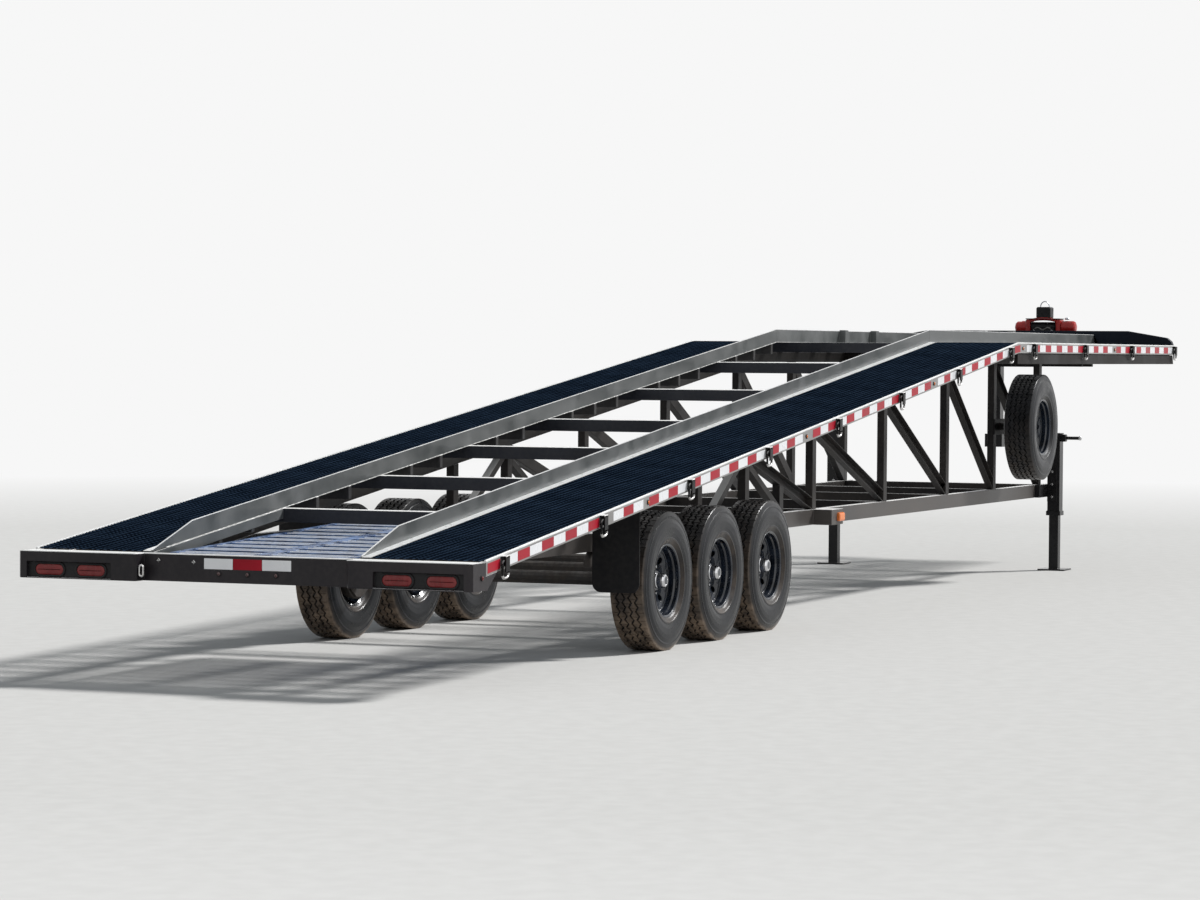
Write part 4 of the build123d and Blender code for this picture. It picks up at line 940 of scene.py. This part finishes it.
@dataclass
class Wheel:
    """A steel wheel with round vents, nuts, a plated hub cap and its brake drum."""

    steps: int = 72
    vents: int = 8
    vent_circle: float = 0.150
    vent_radius: float = 0.019
    nuts: int = 8
    nut_circle: float = 0.0825
    nut: float = 0.021
    nut_crown: Outline = ((0.0, 0.003), (0.0, 0.016), (0.003, 0.020), (0.006, 0.021))
    disc: tuple[float, float] = (0.055, 0.1915)  # inner and outer radius
    dish: tuple[float, ...] = (0.004, 0.024, 0.115, 0.07)  # middle, rise, radius where it starts, its width
    sheet: Outline = (  # share of the way from a vent's edge to its sector's border, depth
        (1.0, 0), (0.55, 0), (0.2, 0), (0.0, -0.002), (0.0, -0.007), (0.2, -0.009), (0.55, -0.009), (1.0, -0.009))
    sector_steps: int = 6
    rim: Outline = (
        (0.2055, 0.087), (0.2145, 0.0885), (0.2160, 0.0925), (0.2135, 0.0955), (0.2060, 0.0950), (0.2000, 0.0905),
        (0.1985, 0.0700), (0.1930, 0.0600), (0.1915, 0.0300), (0.1800, 0.0160), (0.1785, -0.0300), (0.1930, -0.0500),
        (0.1985, -0.0860), (0.2060, -0.0925), (0.2140, -0.0925), (0.2145, -0.0885), (0.2055, -0.0870))
    hub: Outline = (
        (0.0, -0.030), (0.070, -0.030), (0.070, 0.014), (0.064, 0.018), (0.058, 0.020), (0.056, 0.030), (0.0, 0.030))
    cap: Outline = (
        (0.0, 0.030), (0.047, 0.030), (0.047, 0.040), (0.044, 0.044), (0.043, 0.066), (0.040, 0.078),
        (0.036, 0.086), (0.030, 0.0895), (0.024, 0.0895), (0.023, 0.0850), (0.0, 0.0850))
    badge: Outline = (
        (0.0, 0.084), (0.0225, 0.084), (0.0225, 0.0875), (0.019, 0.0885), (0.0, 0.0885))
    drum: Outline = (
        (0.028, -0.119), (0.158, -0.119), (0.165, -0.115), (0.165, -0.092), (0.160, -0.090), (0.160, -0.060),
        (0.150, -0.050), (0.028, -0.049))

    def face(self, centre: Point, outboard: int) -> np.ndarray:
        """Draws the disc: one sector round each vent, from the vent's edge out to the sector's edge.

        A point's radius and angle are mixed between a circle round the vent and the sector's border, and
        the disc bulges with the radius. The sheet's back follows its face.

        Args:
            centre: The wheel's middle.
            outboard: 1 on the left and -1 on the right.

        Returns:
            Array (vents, rings, corners, 3).
        """
        steps = np.linspace(0, 1, self.sector_steps + 1)[:-1]
        half = pi / self.vents
        low, high = self.disc
        out = (high - low) * steps
        radius = np.concatenate((low + 0 * steps, low + out, high + 0 * steps, high - out))
        turn = np.concatenate((half - 2 * half * steps, -half + 0 * steps, -half + 2 * half * steps, half + 0 * steps))
        away = np.arctan2(turn * self.vent_circle, radius - self.vent_circle)
        share, sink = np.array(self.sheet).T[:, :, None]
        vent_r = self.vent_circle + self.vent_radius * np.cos(away)
        vent_t = self.vent_radius * np.sin(away) / self.vent_circle
        r = vent_r + (radius - vent_r) * share
        t = vent_t + (turn - vent_t) * share
        middle, rise, start, width = self.dish
        depth = middle + rise * np.clip((r - start) / width, 0, 1) ** 2 + sink
        angle = t[None] + (np.arange(self.vents) * 2 * half)[:, None, None]
        points = np.stack((r * np.cos(angle), outboard * depth + 0 * angle, r * np.sin(angle)), -1)
        return points + np.array(centre)

    def build(self, name: str, centre: Point, outboard: int, body: str, node: str,
              spare: bool = False) -> None:
        """Builds one wheel.

        Args:
            name: The piece's name.
            centre: The wheel's middle.
            outboard: 1 on the left and -1 on the right.
            body: The body that it rides on.
            node: The CAD node that it stands for.
            spare: True leaves out the hub, cap and drum.
        """
        surface = Surface()
        surface.tubes(spun(np.array(self.rim), centre, outboard, self.steps), closed=True)
        surface.tubes(self.face(centre, outboard), caps=False)
        if not spare:
            for profile, steps, tint in ((self.hub, 40, 0), (self.cap, 40, 1), (self.drum, 56, 2), (self.badge, 24, 0)):
                surface.tubes(spun(np.array(profile), centre, outboard, steps), closed=True, tint=tint)
            angle = (np.arange(self.nuts) + 0.5) * 2 * pi / self.nuts
            places = np.stack((np.cos(angle), 0 * angle, np.sin(angle)), -1) * self.nut_circle + np.array(centre)
            nut = stud(self.nut, rising(self.nut_crown, 0, 1), Along.Y)
            surface.tubes(placed(nut * np.array((1, outboard, 1)), places), tint=1)
        finishes = (Finish.WHEEL,) if spare else (Finish.WHEEL, Finish.CHROME, Finish.IRON)
        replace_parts(dress(surface.build(name), body, *finishes), node)


@dataclass
class RunningGear:
    """All the wheels and tyres, with the spare."""

    stations: tuple[tuple[str, float], ...] = (("rear", 3.194), ("middle", 4.075), ("front", 4.956))
    half_track: float = 1.0
    spare: Point = (10.900, -1.098, 1.170)
    dust: tuple[float, float] = (0.9, 0.12)  # on the wheels that roll, on the spare
    tyre: Tyre = field(default_factory=Tyre)
    wheel: Wheel = field(default_factory=Wheel)

    def build(self) -> None:
        """Builds every wheel and tyre in its place."""
        for axle, station in self.stations:
            for side in Side:
                place = f"{axle}_{side.name.lower()}"
                centre = (LINE.rear + station, side.value * self.half_track, self.tyre.radius)
                self.tyre.build(f"treaded_tyre_{place}", centre, f"wheel_{place}", f"tyre_{place}", self.dust[0])
                self.wheel.build(f"vented_wheel_{place}", centre, side.value, f"wheel_{place}", f"wheel_{place}")
        centre = (LINE.rear + self.spare[0], *self.spare[1:])
        self.tyre.build("treaded_tyre_spare", centre, "trailer", "spare_tyre", self.dust[1])
        self.wheel.build("vented_wheel_spare", centre, -1, "trailer", "spare_wheel", spare=True)


@dataclass
class Lamps:
    """Oval tail lamps in thick grommets, small red lamps and amber marker lamps."""

    lamp_z: float = 0.567
    middles: tuple[float, ...] = (1.1215, 0.8755)
    panel: Point = (0.496, 0.080, 0.004)  # width, height, corner
    panel_face: float = 0.024
    panel_crown: Outline = ((0.0, 0.0), (0.0, 0.0015), (0.002, 0.0025))
    oval: tuple[float, float] = (0.165, 0.056)
    oval_crown: Outline = ((0, 0), (0, 0.004), (0.002, 0.0075), (0.007, 0.010), (0.016, 0.0116))
    grommet: Point = (0.0065, 0.0075, 0.004)  # room round the lens, bar radius, height of its middle
    buttons: tuple[float, ...] = (-0.164, 0.0, 0.164)
    button: float = 0.020
    button_crown: Outline = ((0, 0), (0, 0.005), (0.003, 0.0085), (0.007, 0.0098))
    collar: tuple[float, float] = (0.0028, 0.0030)  # height of its middle, bar radius
    collar_widths: tuple[float, float] = (0.022, 0.023)  # on the bumper, on the sides
    side_lamp: tuple[float, float] = (0.117, 0.585)
    outrigger: Point = (6.690, 0.9705, 0.639)
    block: Point = (0.116, 0.058, 0.016)  # width, height, corner
    block_crown: Outline = ((0, 0), (0, 0.012), (0.004, 0.0175), (0.014, 0.0198))

    def dome(self, face: float, way: int, along: Along, across: float) -> tuple[np.ndarray, np.ndarray]:
        """Draws a small round lamp and the collar round it.

        Args:
            face: Place of the face that it stands on.
            way: 1 where it points up its axis and -1 where it points down it.
            along: Its axis.
            across: Width of the collar, between the middles of its bar.

        Returns:
            The lamp and the collar, each an array for tubes.
        """
        rise, bar = self.collar
        circle = np.insert(rounded(across, across, across / 2, 5), along.value, face + way * rise, 1)
        lens = stud(self.button, rising(self.button_crown, face, way), along, 4)
        return lens, pipe(circle, bar, tuple(np.eye(3)[along.value]), 8)

    def tail(self) -> None:
        """Builds the red lamps: each lens is its oval drawn in level by level to a low crown."""
        surface, face = Surface(), LINE.rear + self.panel_face
        (width, height), (room, bar, rise) = self.oval, self.grommet
        lens = stack(rounded(width, height, height / 2, 8), rising(self.oval_crown, face, -1), Along.X)
        path = np.insert(rounded(width + 2 * room, height + 2 * room, height / 2 + room, 8), 0, face - rise, 1)
        grommet = pipe(path, bar, (1, 0, 0), 8)
        box = sum(self.middles) / 2
        panel = stack(rounded(*self.panel, 2), rising(self.panel_crown, face, -1), Along.X)
        panels = np.array([(0, side.value * box, self.lamp_z) for side in Side])
        surface.tubes(placed(panel, panels), tint=1)
        places = np.array([(0, side.value * middle, self.lamp_z) for middle in self.middles for side in Side])
        surface.tubes(placed(lens, places))
        surface.tubes(placed(grommet, places), closed=True, tint=1)
        button, collar = self.dome(LINE.rear + LINE.recess, -1, Along.X, self.collar_widths[0])
        places = np.array([(0, middle, self.lamp_z) for middle in self.buttons])
        surface.tubes(placed(button, places), tint=2)
        surface.tubes(placed(collar, places), closed=True, tint=1)
        self.side_lamps(surface, np.array([(LINE.rear + self.side_lamp[0], 0, self.side_lamp[1])]))
        piece = surface.build("red_lenses")
        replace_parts(dress(piece, "trailer", Finish.LENS_RED, Finish.GROMMET, Finish.LENS_DARK), "tail_lamps")

    def side_lamps(self, surface: Surface, places: np.ndarray) -> None:
        """Adds small domed lamps with collars on both side faces.

        Args:
            surface: The surface that they go to.
            places: Array (lamps, 3) of X, 0 and Z.
        """
        lens, collar = self.dome(LINE.half_width, 1, Along.Y, self.collar_widths[1])
        surface.tubes(both(placed(lens, places)))
        surface.tubes(both(placed(collar, places)), closed=True, tint=1)

    def amber(self) -> None:
        """Builds the amber lamps along the side rails and on the outriggers."""
        surface = Surface()
        self.side_lamps(surface, LINE.lift(np.array([(station, 0, LINE.tape) for station in LINE.lamps])))
        station, inner, height = self.outrigger
        outline = rounded(*self.block, 4) + np.array((LINE.rear + station, height))
        surface.tubes(both(stack(outline, rising(self.block_crown, inner, 1), Along.Y)))
        piece = surface.build("amber_lenses")
        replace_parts(dress(piece, "trailer", Finish.LENS_AMBER, Finish.GROMMET), "marker_lamps")

    def build(self) -> None:
        """Builds all the lamps."""
        self.tail()
        self.amber()


@dataclass
class Fittings:
    """Bolts and a bright ring on the bumper, weld seams, painted-highlight edges, mud flaps and the stowed ramps'
    grips.
    """

    bumper_bolts: Outline = ((0.512, 0.629), (0.308, 0.624))
    bolt: float = 0.022
    bolt_crown: Outline = ((0, 0), (0, 0.006), (0.003, 0.009))
    ring_middle: Point = (0.020, 0.580, 0.575)
    ring_oval: Point = (0.022, 0.056, 0.011)  # width, height, corner
    ring_bar: float = 0.0058
    weld_run: tuple[float, float, int] = (0.32, 0.10, 900)  # first station, room at the front, points
    weld: Point = (0.0022, 0.0010, 0.11)  # thickness, ripple, pitch
    weld_y: float = 0.5992
    weld_flatness: float = 0.6  # its width as a share of its height
    rail_lip: Outline = ((1.2830, 0.0), (1.2950, 0.0), (1.2950, 0.0070), (1.2935, 0.0085), (1.2845, 0.0085))
    foot: Outline = ((0.6070, 0.0055), (0.6555, 0.0055), (0.6555, 0.0068), (0.6070, 0.0075))
    crest: Outline = ((0.5998, 0.0940), (0.6062, 0.0940), (0.6062, 0.0975), (0.5998, 0.0975))
    foot_ends: tuple[float, float] = (0.200, 0.070)  # first station, room at the front
    crest_slope: tuple[float, float] = (0.610, -0.0855)  # station where it ends, drop at the rear
    bumper_lip: Outline = ((0, 0.6600), (0.0040, 0.6600), (0.0040, 0.6640), (0, 0.6640))
    bumper_lips: tuple[Point, ...] = ((-0.598, 0.598, 0.0845), (0.604, 1.280, 0.0), (-1.280, -0.604, 0.0))
    flap: Point = (0.288, 0.500, 0.055)  # width, height, lower corners
    flap_middle: Point = (2.655, 0.992, 0.610)
    flap_depth: float = 0.008
    flap_bolts: tuple[float, ...] = (0.875, 0.992, 1.109)
    flap_bolt_z: float = 0.846
    flap_bolt: float = 0.020
    flap_crown: Outline = ((0, 0), (0, 0.005), (0.003, 0.007))
    rungs: int = 10
    ramp_start: float = 0.240
    ramp_length: float = 1.980
    ramp_heights: Point = (0.622, 0.078, 0.036)  # underside at the rear, its rise, rungs' top over it
    rung_length: float = 0.130
    grips: int = 2
    ridge: Outline = ((-0.009, 0), (0.009, 0), (0.006, 0.0035), (-0.006, 0.0035))
    ridge_span: tuple[float, float] = (0.046, 0.492)

    def bolts(self) -> None:
        """Builds bolt heads on the bumper and the bright oval ring beside them."""
        surface = Surface()
        head = stud(self.bolt, rising(self.bolt_crown, LINE.rear + LINE.recess, -1), Along.X)
        surface.tubes(placed(head, np.array([(0, y, z) for y, z in self.bumper_bolts])))
        back, *middle = self.ring_middle
        path = np.insert(rounded(*self.ring_oval, 6), 0, LINE.rear + back, 1) + np.array((0, *middle))
        surface.tubes(pipe(path, self.ring_bar, (1, 0, 0), 8), closed=True)
        dress(surface.build("bumper_bolts"), "trailer", Finish.BOLT)

    def seams(self) -> None:
        """Builds the weld beads along the inner rails' lower edges: a bead whose thickness ripples."""
        surface = Surface()
        (first, room, count), (thickness, wave, pitch) = self.weld_run, self.weld
        station = np.linspace(first, LINE.length - room, count)
        ripple = thickness + wave * np.abs(np.sin(station * 2 * pi / pitch)) ** 3
        angle = np.linspace(0, 2 * pi, 6, endpoint=False)[None, :]
        height = ripple[:, None] * np.sin(angle)
        reach = self.weld_y - ripple[:, None] * np.cos(angle) * self.weld_flatness
        points = np.stack((station[:, None] + 0 * angle, reach, height), -1)[None]
        surface.tubes(both(LINE.lift(points)))
        dress(surface.build("weld_seams"), "trailer", Finish.WELD)

    def edges(self) -> None:
        """Builds near-white strips as a painted highlight: the side rails' lips, the inner rails' feet and top edges,
        and the bumper's lips.
        """
        surface, level = Surface(), (0, 0, 0)
        (first, room), (crest_end, drop) = self.foot_ends, self.crest_slope
        end = LINE.length - room
        runs = ((self.rail_lip, (LINE.start + 0.002, LINE.bend, LINE.length - 0.002), level),
                (self.foot, (first, LINE.bend, end), level),
                (self.crest, (LINE.start + 0.004, crest_end, LINE.bend, end), (drop, 0, 0, 0)))
        for outline, stations, lifts in runs:
            surface.tubes(both(along_line(np.array(outline), stations, lifts)))
        for low, high, back in self.bumper_lips:
            outline = np.array(self.bumper_lip) + np.array((LINE.rear + back, 0))
            surface.tubes(prism(outline, low, high, Along.Y, 0.0005))
        dress(surface.build("bright_edges"), "trailer", Finish.EDGE)

    def flaps(self) -> None:
        """Builds the mud flaps with round lower corners and the bolts that hold them."""
        station, y, z = self.flap_middle
        surface, x = Surface(), LINE.rear + station
        outline = rounded(*self.flap, 6) + np.array((y, z))
        upper = outline[:, 1] > z
        outline[upper, 0] = y + np.sign(outline[upper, 0] - y) * self.flap[0] / 2
        surface.tubes(both(prism(outline, x, x + self.flap_depth, Along.X)))
        head = stud(self.flap_bolt, rising(self.flap_crown, x, -1), Along.X)
        places = np.array([(0, side.value * place, self.flap_bolt_z) for place in self.flap_bolts for side in Side])
        surface.tubes(placed(head, places), tint=1)
        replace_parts(dress(surface.build("rounded_flaps"), "trailer", Finish.FLAP, Finish.BLACK), "mud_flaps")

    def ramp_grips(self) -> None:
        """Builds ridges across the rungs of the stowed ramps, near-white as a painted highlight."""
        surface = Surface()
        pitch = (self.ramp_length - self.rung_length) / (self.rungs - 1)
        steps = self.rung_length / self.grips * (np.arange(self.grips) + 0.5)
        stations = (self.ramp_start + pitch * np.arange(self.rungs)[:, None] + steps).ravel()
        under, rise, rung_top = self.ramp_heights
        heights = under + rise / self.ramp_length * (stations - self.ramp_start) + rung_top
        places = np.stack((LINE.rear + stations, 0 * stations, heights), -1)
        surface.tubes(both(placed(prism(np.array(self.ridge), *self.ridge_span, Along.Y), places)))
        dress(surface.build("ramp_grips"), "trailer", Finish.RAMP_EDGE)

    def build(self) -> None:
        """Builds all the fittings."""
        for make in (self.bolts, self.seams, self.edges, self.flaps, self.ramp_grips):
            make()


@dataclass
class Jacks:
    """Details of the two jacks: cranks with their gear boxes, bolted plates and bright top plates."""

    station: float = 12.230
    middle: float = 0.930
    half_tube: float = 0.050
    top: float = 1.100
    crank_z: float = 1.060
    gear_box: Point = (0.058, 0.040, 0.058)
    rod: Point = (0.036, 0.144, 0.013)  # start, end, radius
    knob: float = 0.034
    knob_crown: Outline = ((0.006, 0.140), (0, 0.145), (0, 0.158), (0.006, 0.163))
    plate: Point = (0.006, 0.080, 0.280)
    plate_place: Point = (-0.053, -0.010, 0.690)
    bolt: float = 0.024
    bolt_crown: Outline = ((0, 0.056), (0, 0.064), (0.003, 0.067))
    bolt_heights: tuple[float, ...] = (0.59, 0.69, 0.79)
    top_plate: Point = (0.104, 0.104, 0.002)

    def build(self) -> None:
        """Builds the cranks in place of the plain ones, and the plates."""
        x, face = LINE.rear + self.station, self.middle + self.half_tube
        start, end, radius = self.rod
        surface = Surface()
        surface.tubes(both(brick((x, face + self.gear_box[1] / 2, self.crank_z), self.gear_box, 0.006)))
        rod = np.array([(x, face + reach, self.crank_z) for reach in np.linspace(start, end, 8)])
        surface.tubes(both(pipe(rod, radius, (0, 0, 1), 12)))
        circle = rounded(self.knob, self.knob, self.knob / 2, 4) + np.array((x, self.crank_z))
        surface.tubes(both(stack(circle, rising(self.knob_crown, face, 1), Along.Y)), tint=1)
        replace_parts(dress(surface.build("jack_crank_sets"), "trailer", Finish.BLACK, Finish.PLATED), "jack_cranks")
        surface = Surface()
        ahead, inwards, height = self.plate_place
        surface.tubes(both(brick((x + ahead, self.middle + inwards, height), self.plate)))
        head = stud(self.bolt, rising(self.bolt_crown, x, -1), Along.X)
        places = np.array([(0, self.middle + inwards, z) for z in self.bolt_heights])
        surface.tubes(both(placed(head, places)), tint=1)
        dress(surface.build("jack_plates"), "trailer", Finish.BLACK, Finish.PLATED)
        surface = Surface()
        surface.tubes(both(brick((x, self.middle, self.top - 0.0015), self.top_plate, 0.0008)))
        dress(surface.build("jack_top_plates"), "trailer", Finish.PLATED)


@dataclass
class Winch:
    """The winch on its shelf: housings, arch, wound drum, loose rope, motor, gearbox, box, handle and knob."""

    x: float = 7.355
    y: float = -0.110
    shelf: float = 1.896
    axis: float = 0.070
    half_drum: float = 0.115
    drum_hub: float = 0.030
    housing: Point = (0.148, 0.038, 0.138)
    housing_room: float = 0.020  # from the drum's end to a housing's middle
    motor_room: float = 0.040  # from the drum's end to the motor and to the gearbox
    arch: tuple[float, ...] = (-0.050, 0.040, 0.135, 0.034, 0.014)  # as bow takes them, over the axis
    handle: tuple[float, ...] = (0.0, 0.246, 0.040, 0.051, 0.005)  # as bow takes them, over the shelf
    rope: tuple[float, ...] = (-0.066, -0.012, 0.010, 0.07, 0.006)  # ahead, over the axis, wave, half width, radius
    motor: Outline = ((0, 0), (0.052, 0), (0.057, 0.006), (0.057, 0.100), (0.050, 0.118), (0.030, 0.127), (0, 0.128))
    gear: Outline = ((0, 0), (0.057, 0), (0.057, 0.045), (0.052, 0.050), (0.052, 0.085), (0.040, 0.100),
                     (0.016, 0.104), (0.014, 0.109), (0, 0.109))
    wound: Point = (0.0445, 0.0035, 0.014)  # radius between the turns, rise on a turn, pitch
    half_wound: float = 0.112
    tie_plate: Point = (0.148, 0.308, 0.008)
    tie_plate_z: float = 0.144
    box: Point = (0.118, 0.128, 0.100)
    box_z: float = 0.198
    knob: float = 0.042
    knob_crown: Outline = ((0.014, 0.066), (0.002, 0.068), (0, 0.078), (0.006, 0.086))
    knob_y: float = -0.200
    rear_bar: Point = (0.016, 0.200, 0.044)
    rear_bar_place: tuple[float, float] = (-0.062, 0.040)  # ahead of the middle, over the shelf
    bolt_y: float = 0.080
    bolt: float = 0.022
    bolt_crown: Outline = ((0, 0.070), (0, 0.076), (0.003, 0.079))

    def bow(self, sizes: tuple[float, ...], base: float, steps: int, sides: int) -> np.ndarray:
        """Draws a round bar bent to a half ellipse across the winch.

        Args:
            sizes: How far ahead of the middle it stands, its ends' height over the base, half its width,
                its rise and the bar's radius.
            base: The height that its ends are measured from.
            steps: Points along it.
            sides: Sides of the bar.

        Returns:
            The bar, an array for tubes.
        """
        ahead, foot, half, rise, bar = sizes
        turn = np.linspace(0, pi, steps)
        across, height = self.y + half * np.cos(turn), base + foot + rise * np.sin(turn)
        return pipe(np.stack((0 * turn + (self.x + ahead), across, height), -1), bar, (1, 0, 0), sides)

    def red_parts(self, surface: Surface, axis: float) -> None:
        """Adds the housings, the arch over the drum, the motor and the gearbox.

        Args:
            surface: The surface that they go to.
            axis: Height of the drum's axis.
        """
        for way in (-1, 1):
            middle = self.y + way * (self.half_drum + self.housing_room)
            surface.tubes(brick((self.x, middle, axis), self.housing, 0.008))
        surface.tubes(self.bow(self.arch, axis, 15, 10))
        end = self.half_drum + self.motor_room
        surface.tubes(spun(np.array(self.motor), (self.x, self.y - end, axis), -1, 36), closed=True)
        surface.tubes(spun(np.array(self.gear), (self.x, self.y + end, axis), 1, 36), closed=True)

    def build(self) -> None:
        """Builds the winch in place of the plain one."""
        surface, axis = Surface(), self.shelf + self.axis
        self.red_parts(surface, axis)
        turns = np.linspace(-self.half_wound, self.half_wound, 97)
        low, rise, pitch = self.wound
        wound = np.stack((low + rise * np.abs(np.sin(turns * pi / pitch)), turns), -1)
        end = np.array([(0.0, -self.half_drum), (self.drum_hub, -self.half_drum)])
        profile = np.concatenate((end, wound, end[::-1] * np.array((1, -1))))
        surface.tubes(spun(profile, (self.x, self.y, axis), 1, 32), closed=True, tint=1)
        ahead, over, wave, half, radius = self.rope
        rope = np.stack((np.full(17, self.x + ahead), self.y + np.linspace(-half, half, 17),
                         axis + over + wave * np.sin(np.linspace(0, 3 * pi, 17))), -1)
        surface.tubes(pipe(rope, radius, (1, 0, 0), 8), tint=3)
        surface.tubes(brick((self.x, self.y, self.shelf + self.tie_plate_z), self.tie_plate), tint=1)
        surface.tubes(brick((self.x, self.y, self.shelf + self.box_z), self.box, 0.010), tint=1)
        surface.tubes(self.bow(self.handle, self.shelf, 13, 8), tint=2)
        circle = rounded(self.knob, self.knob, self.knob / 2, 5) + np.array((self.x, self.y + self.knob_y))
        surface.tubes(stack(circle, rising(self.knob_crown, axis, 1), Along.Z), tint=2)
        ahead, over = self.rear_bar_place
        surface.tubes(brick((self.x + ahead, self.y, self.shelf + over), self.rear_bar, 0.005), tint=1)
        head = stud(self.bolt, rising(self.bolt_crown, self.x, -1), Along.X)
        bolts = np.array([(0, self.y + way * self.bolt_y, self.shelf + over) for way in (-1, 1)])
        surface.tubes(placed(head, bolts), tint=2)
        finishes = (Finish.WINCH_RED, Finish.WINCH_BLACK, Finish.WINCH_SILVER, Finish.ROPE)
        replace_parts(dress(surface.build("deck_winch"), "trailer", *finishes), "winch")


@dataclass
class Studio:
    """A pale floor, soft light and the camera at the photograph's angle."""

    eye: Point = (-24.383, -8.863, 1.710)
    yaw: float = 0.3872
    pitch: float = -0.0258
    roll: float = 0.0072
    lens: float = 112.16
    sensor: float = 36.0
    clip_end: float = 300.0
    backdrop: float = 0.93
    sky: Colour = (0.86, 0.93, 1.0)
    sky_strength: float = 0.36
    floor_colours: tuple[Colour, Colour] = ((0.55, 0.54, 0.52), (0.58, 0.57, 0.55))
    floor_rings: tuple[float, ...] = (0.0, 12.0, 24.0, 90.0)
    floor_fade: tuple[float, float] = (12.0, 26.0)
    lamps: tuple[tuple[str, Point, float, float], ...] = (
        ("key", (0.70, -0.52, 0.72), 4.4, 9.0), ("fill", (-0.9, -0.5, 0.55), 0.30, 60.0))

    def camera(self) -> None:
        """Makes the camera from its heading, pitch and roll."""
        data = bpy.data.cameras.new("camera")
        data.lens, data.sensor_width, data.clip_end = self.lens, self.sensor, self.clip_end
        camera = linked("camera", data)
        ahead = np.array((cos(self.yaw) * cos(self.pitch), sin(self.yaw) * cos(self.pitch), sin(self.pitch)))
        level = np.array((sin(self.yaw), -cos(self.yaw), 0.0))
        over = np.cross(level, ahead)
        right = cos(self.roll) * level + sin(self.roll) * over
        up = -sin(self.roll) * level + cos(self.roll) * over
        rows = np.stack((right, up, -ahead, np.array(self.eye)), 1)
        camera.matrix_world = Matrix([*rows.tolist(), [0, 0, 0, 1]])
        bpy.context.scene.camera = camera

    def seen(self, bench: Bench) -> Socket:
        """Adds the rays that see the backdrop: camera, glossy and transmission rays.

        Args:
            bench: The material's or world's bench.

        Returns:
            A socket that is 1 for those rays.
        """
        path = bench.node("ShaderNodeLightPath").outputs
        shiny = bench.math("MAXIMUM", path["Is Glossy Ray"], path["Is Transmission Ray"])
        return bench.math("MAXIMUM", path["Is Camera Ray"], shiny)

    def world(self) -> None:
        """Makes the soft sky light, seen as a pale backdrop."""
        world = bpy.data.worlds.new("backdrop")
        bench = fresh(world)
        light = bench.node("ShaderNodeBackground", {0: rgba(self.sky), 1: self.sky_strength})
        shown = bench.node("ShaderNodeBackground", {0: rgba((self.backdrop,) * 3), 1: 1.0})
        both_ways = bench.node("ShaderNodeMixShader", {0: self.seen(bench), 1: light.outputs[0], 2: shown.outputs[0]})
        bench.node("ShaderNodeOutputWorld", {0: both_ways.outputs[0]})
        bpy.context.scene.world = world

    def floor(self) -> None:
        """Makes the floor, a disc that fades into the backdrop away from the trailer."""
        angle = np.linspace(0, 2 * pi, 96, endpoint=False)
        reach = np.array(self.floor_rings)[:, None]
        points = np.stack((reach * np.cos(angle), reach * np.sin(angle), 0 * reach * angle), -1)
        surface = Surface()
        surface.tubes(points[None], caps=False)
        floor = surface.build("floor")
        if floor.data.polygons[0].normal.z < 0:
            floor.data.flip_normals()
        made = bpy.data.materials.new("floor")
        bench = fresh(made)
        place = bench.place()
        share = bench.span(bench.noise(place, 9.0, 8.0), 0.35, 0.65, 0.0, 1.0)
        tone = bench.mix(share, *(rgba(colour) for colour in self.floor_colours))
        matt = bench.node("ShaderNodeBsdfDiffuse", {0: tone})
        glow = bench.node("ShaderNodeEmission", {0: rgba((self.backdrop,) * 3)})
        away = bench.node("ShaderNodeVectorMath", {0: place}, operation="LENGTH").outputs["Value"]
        share = bench.math("MULTIPLY", bench.span(away, *self.floor_fade, 0.0, 1.0), self.seen(bench))
        faded = bench.node("ShaderNodeMixShader", {0: share, 1: matt.outputs[0], 2: glow.outputs[0]})
        bench.node("ShaderNodeOutputMaterial", {0: faded.outputs[0]})
        floor.data.materials.append(made)

    def lamp(self, name: str, heading: Point, strength: float, spread: float) -> None:
        """Makes a distant soft light.

        Args:
            name: The light's name.
            heading: Direction from the trailer towards the light.
            strength: Its strength.
            spread: Its angle across, in degrees.
        """
        data = bpy.data.lights.new(name, "SUN")
        data.energy, data.angle = strength, radians(spread)
        light = linked(name, data)
        back = np.array(heading) / np.linalg.norm(heading)
        level = np.cross((0.0, 0.0, 1.0), back)
        level /= np.linalg.norm(level)
        rows = np.stack((level, np.cross(back, level), back, 10 * back), 1)
        light.matrix_world = Matrix([*rows.tolist(), [0, 0, 0, 1]])

    def build(self) -> None:
        """Sets the whole studio up."""
        bpy.context.scene.view_settings.view_transform = "Standard"
        self.camera()
        self.world()
        self.floor()
        for row in self.lamps:
            self.lamp(*row)


def main() -> None:
    """Builds the studio and every sub-assembly in order."""
    logging.basicConfig(level=logging.INFO, format="%(name)s: %(message)s")
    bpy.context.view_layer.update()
    for part in (Studio(), Framework(), Decking(), Tape(), TieDowns(), RunningGear(), Lamps(), Fittings(),
                 Jacks(), Winch()):
        LOG.info("building %s", type(part).__name__)
        part.build()


if __name__ == "__main__":
    main()
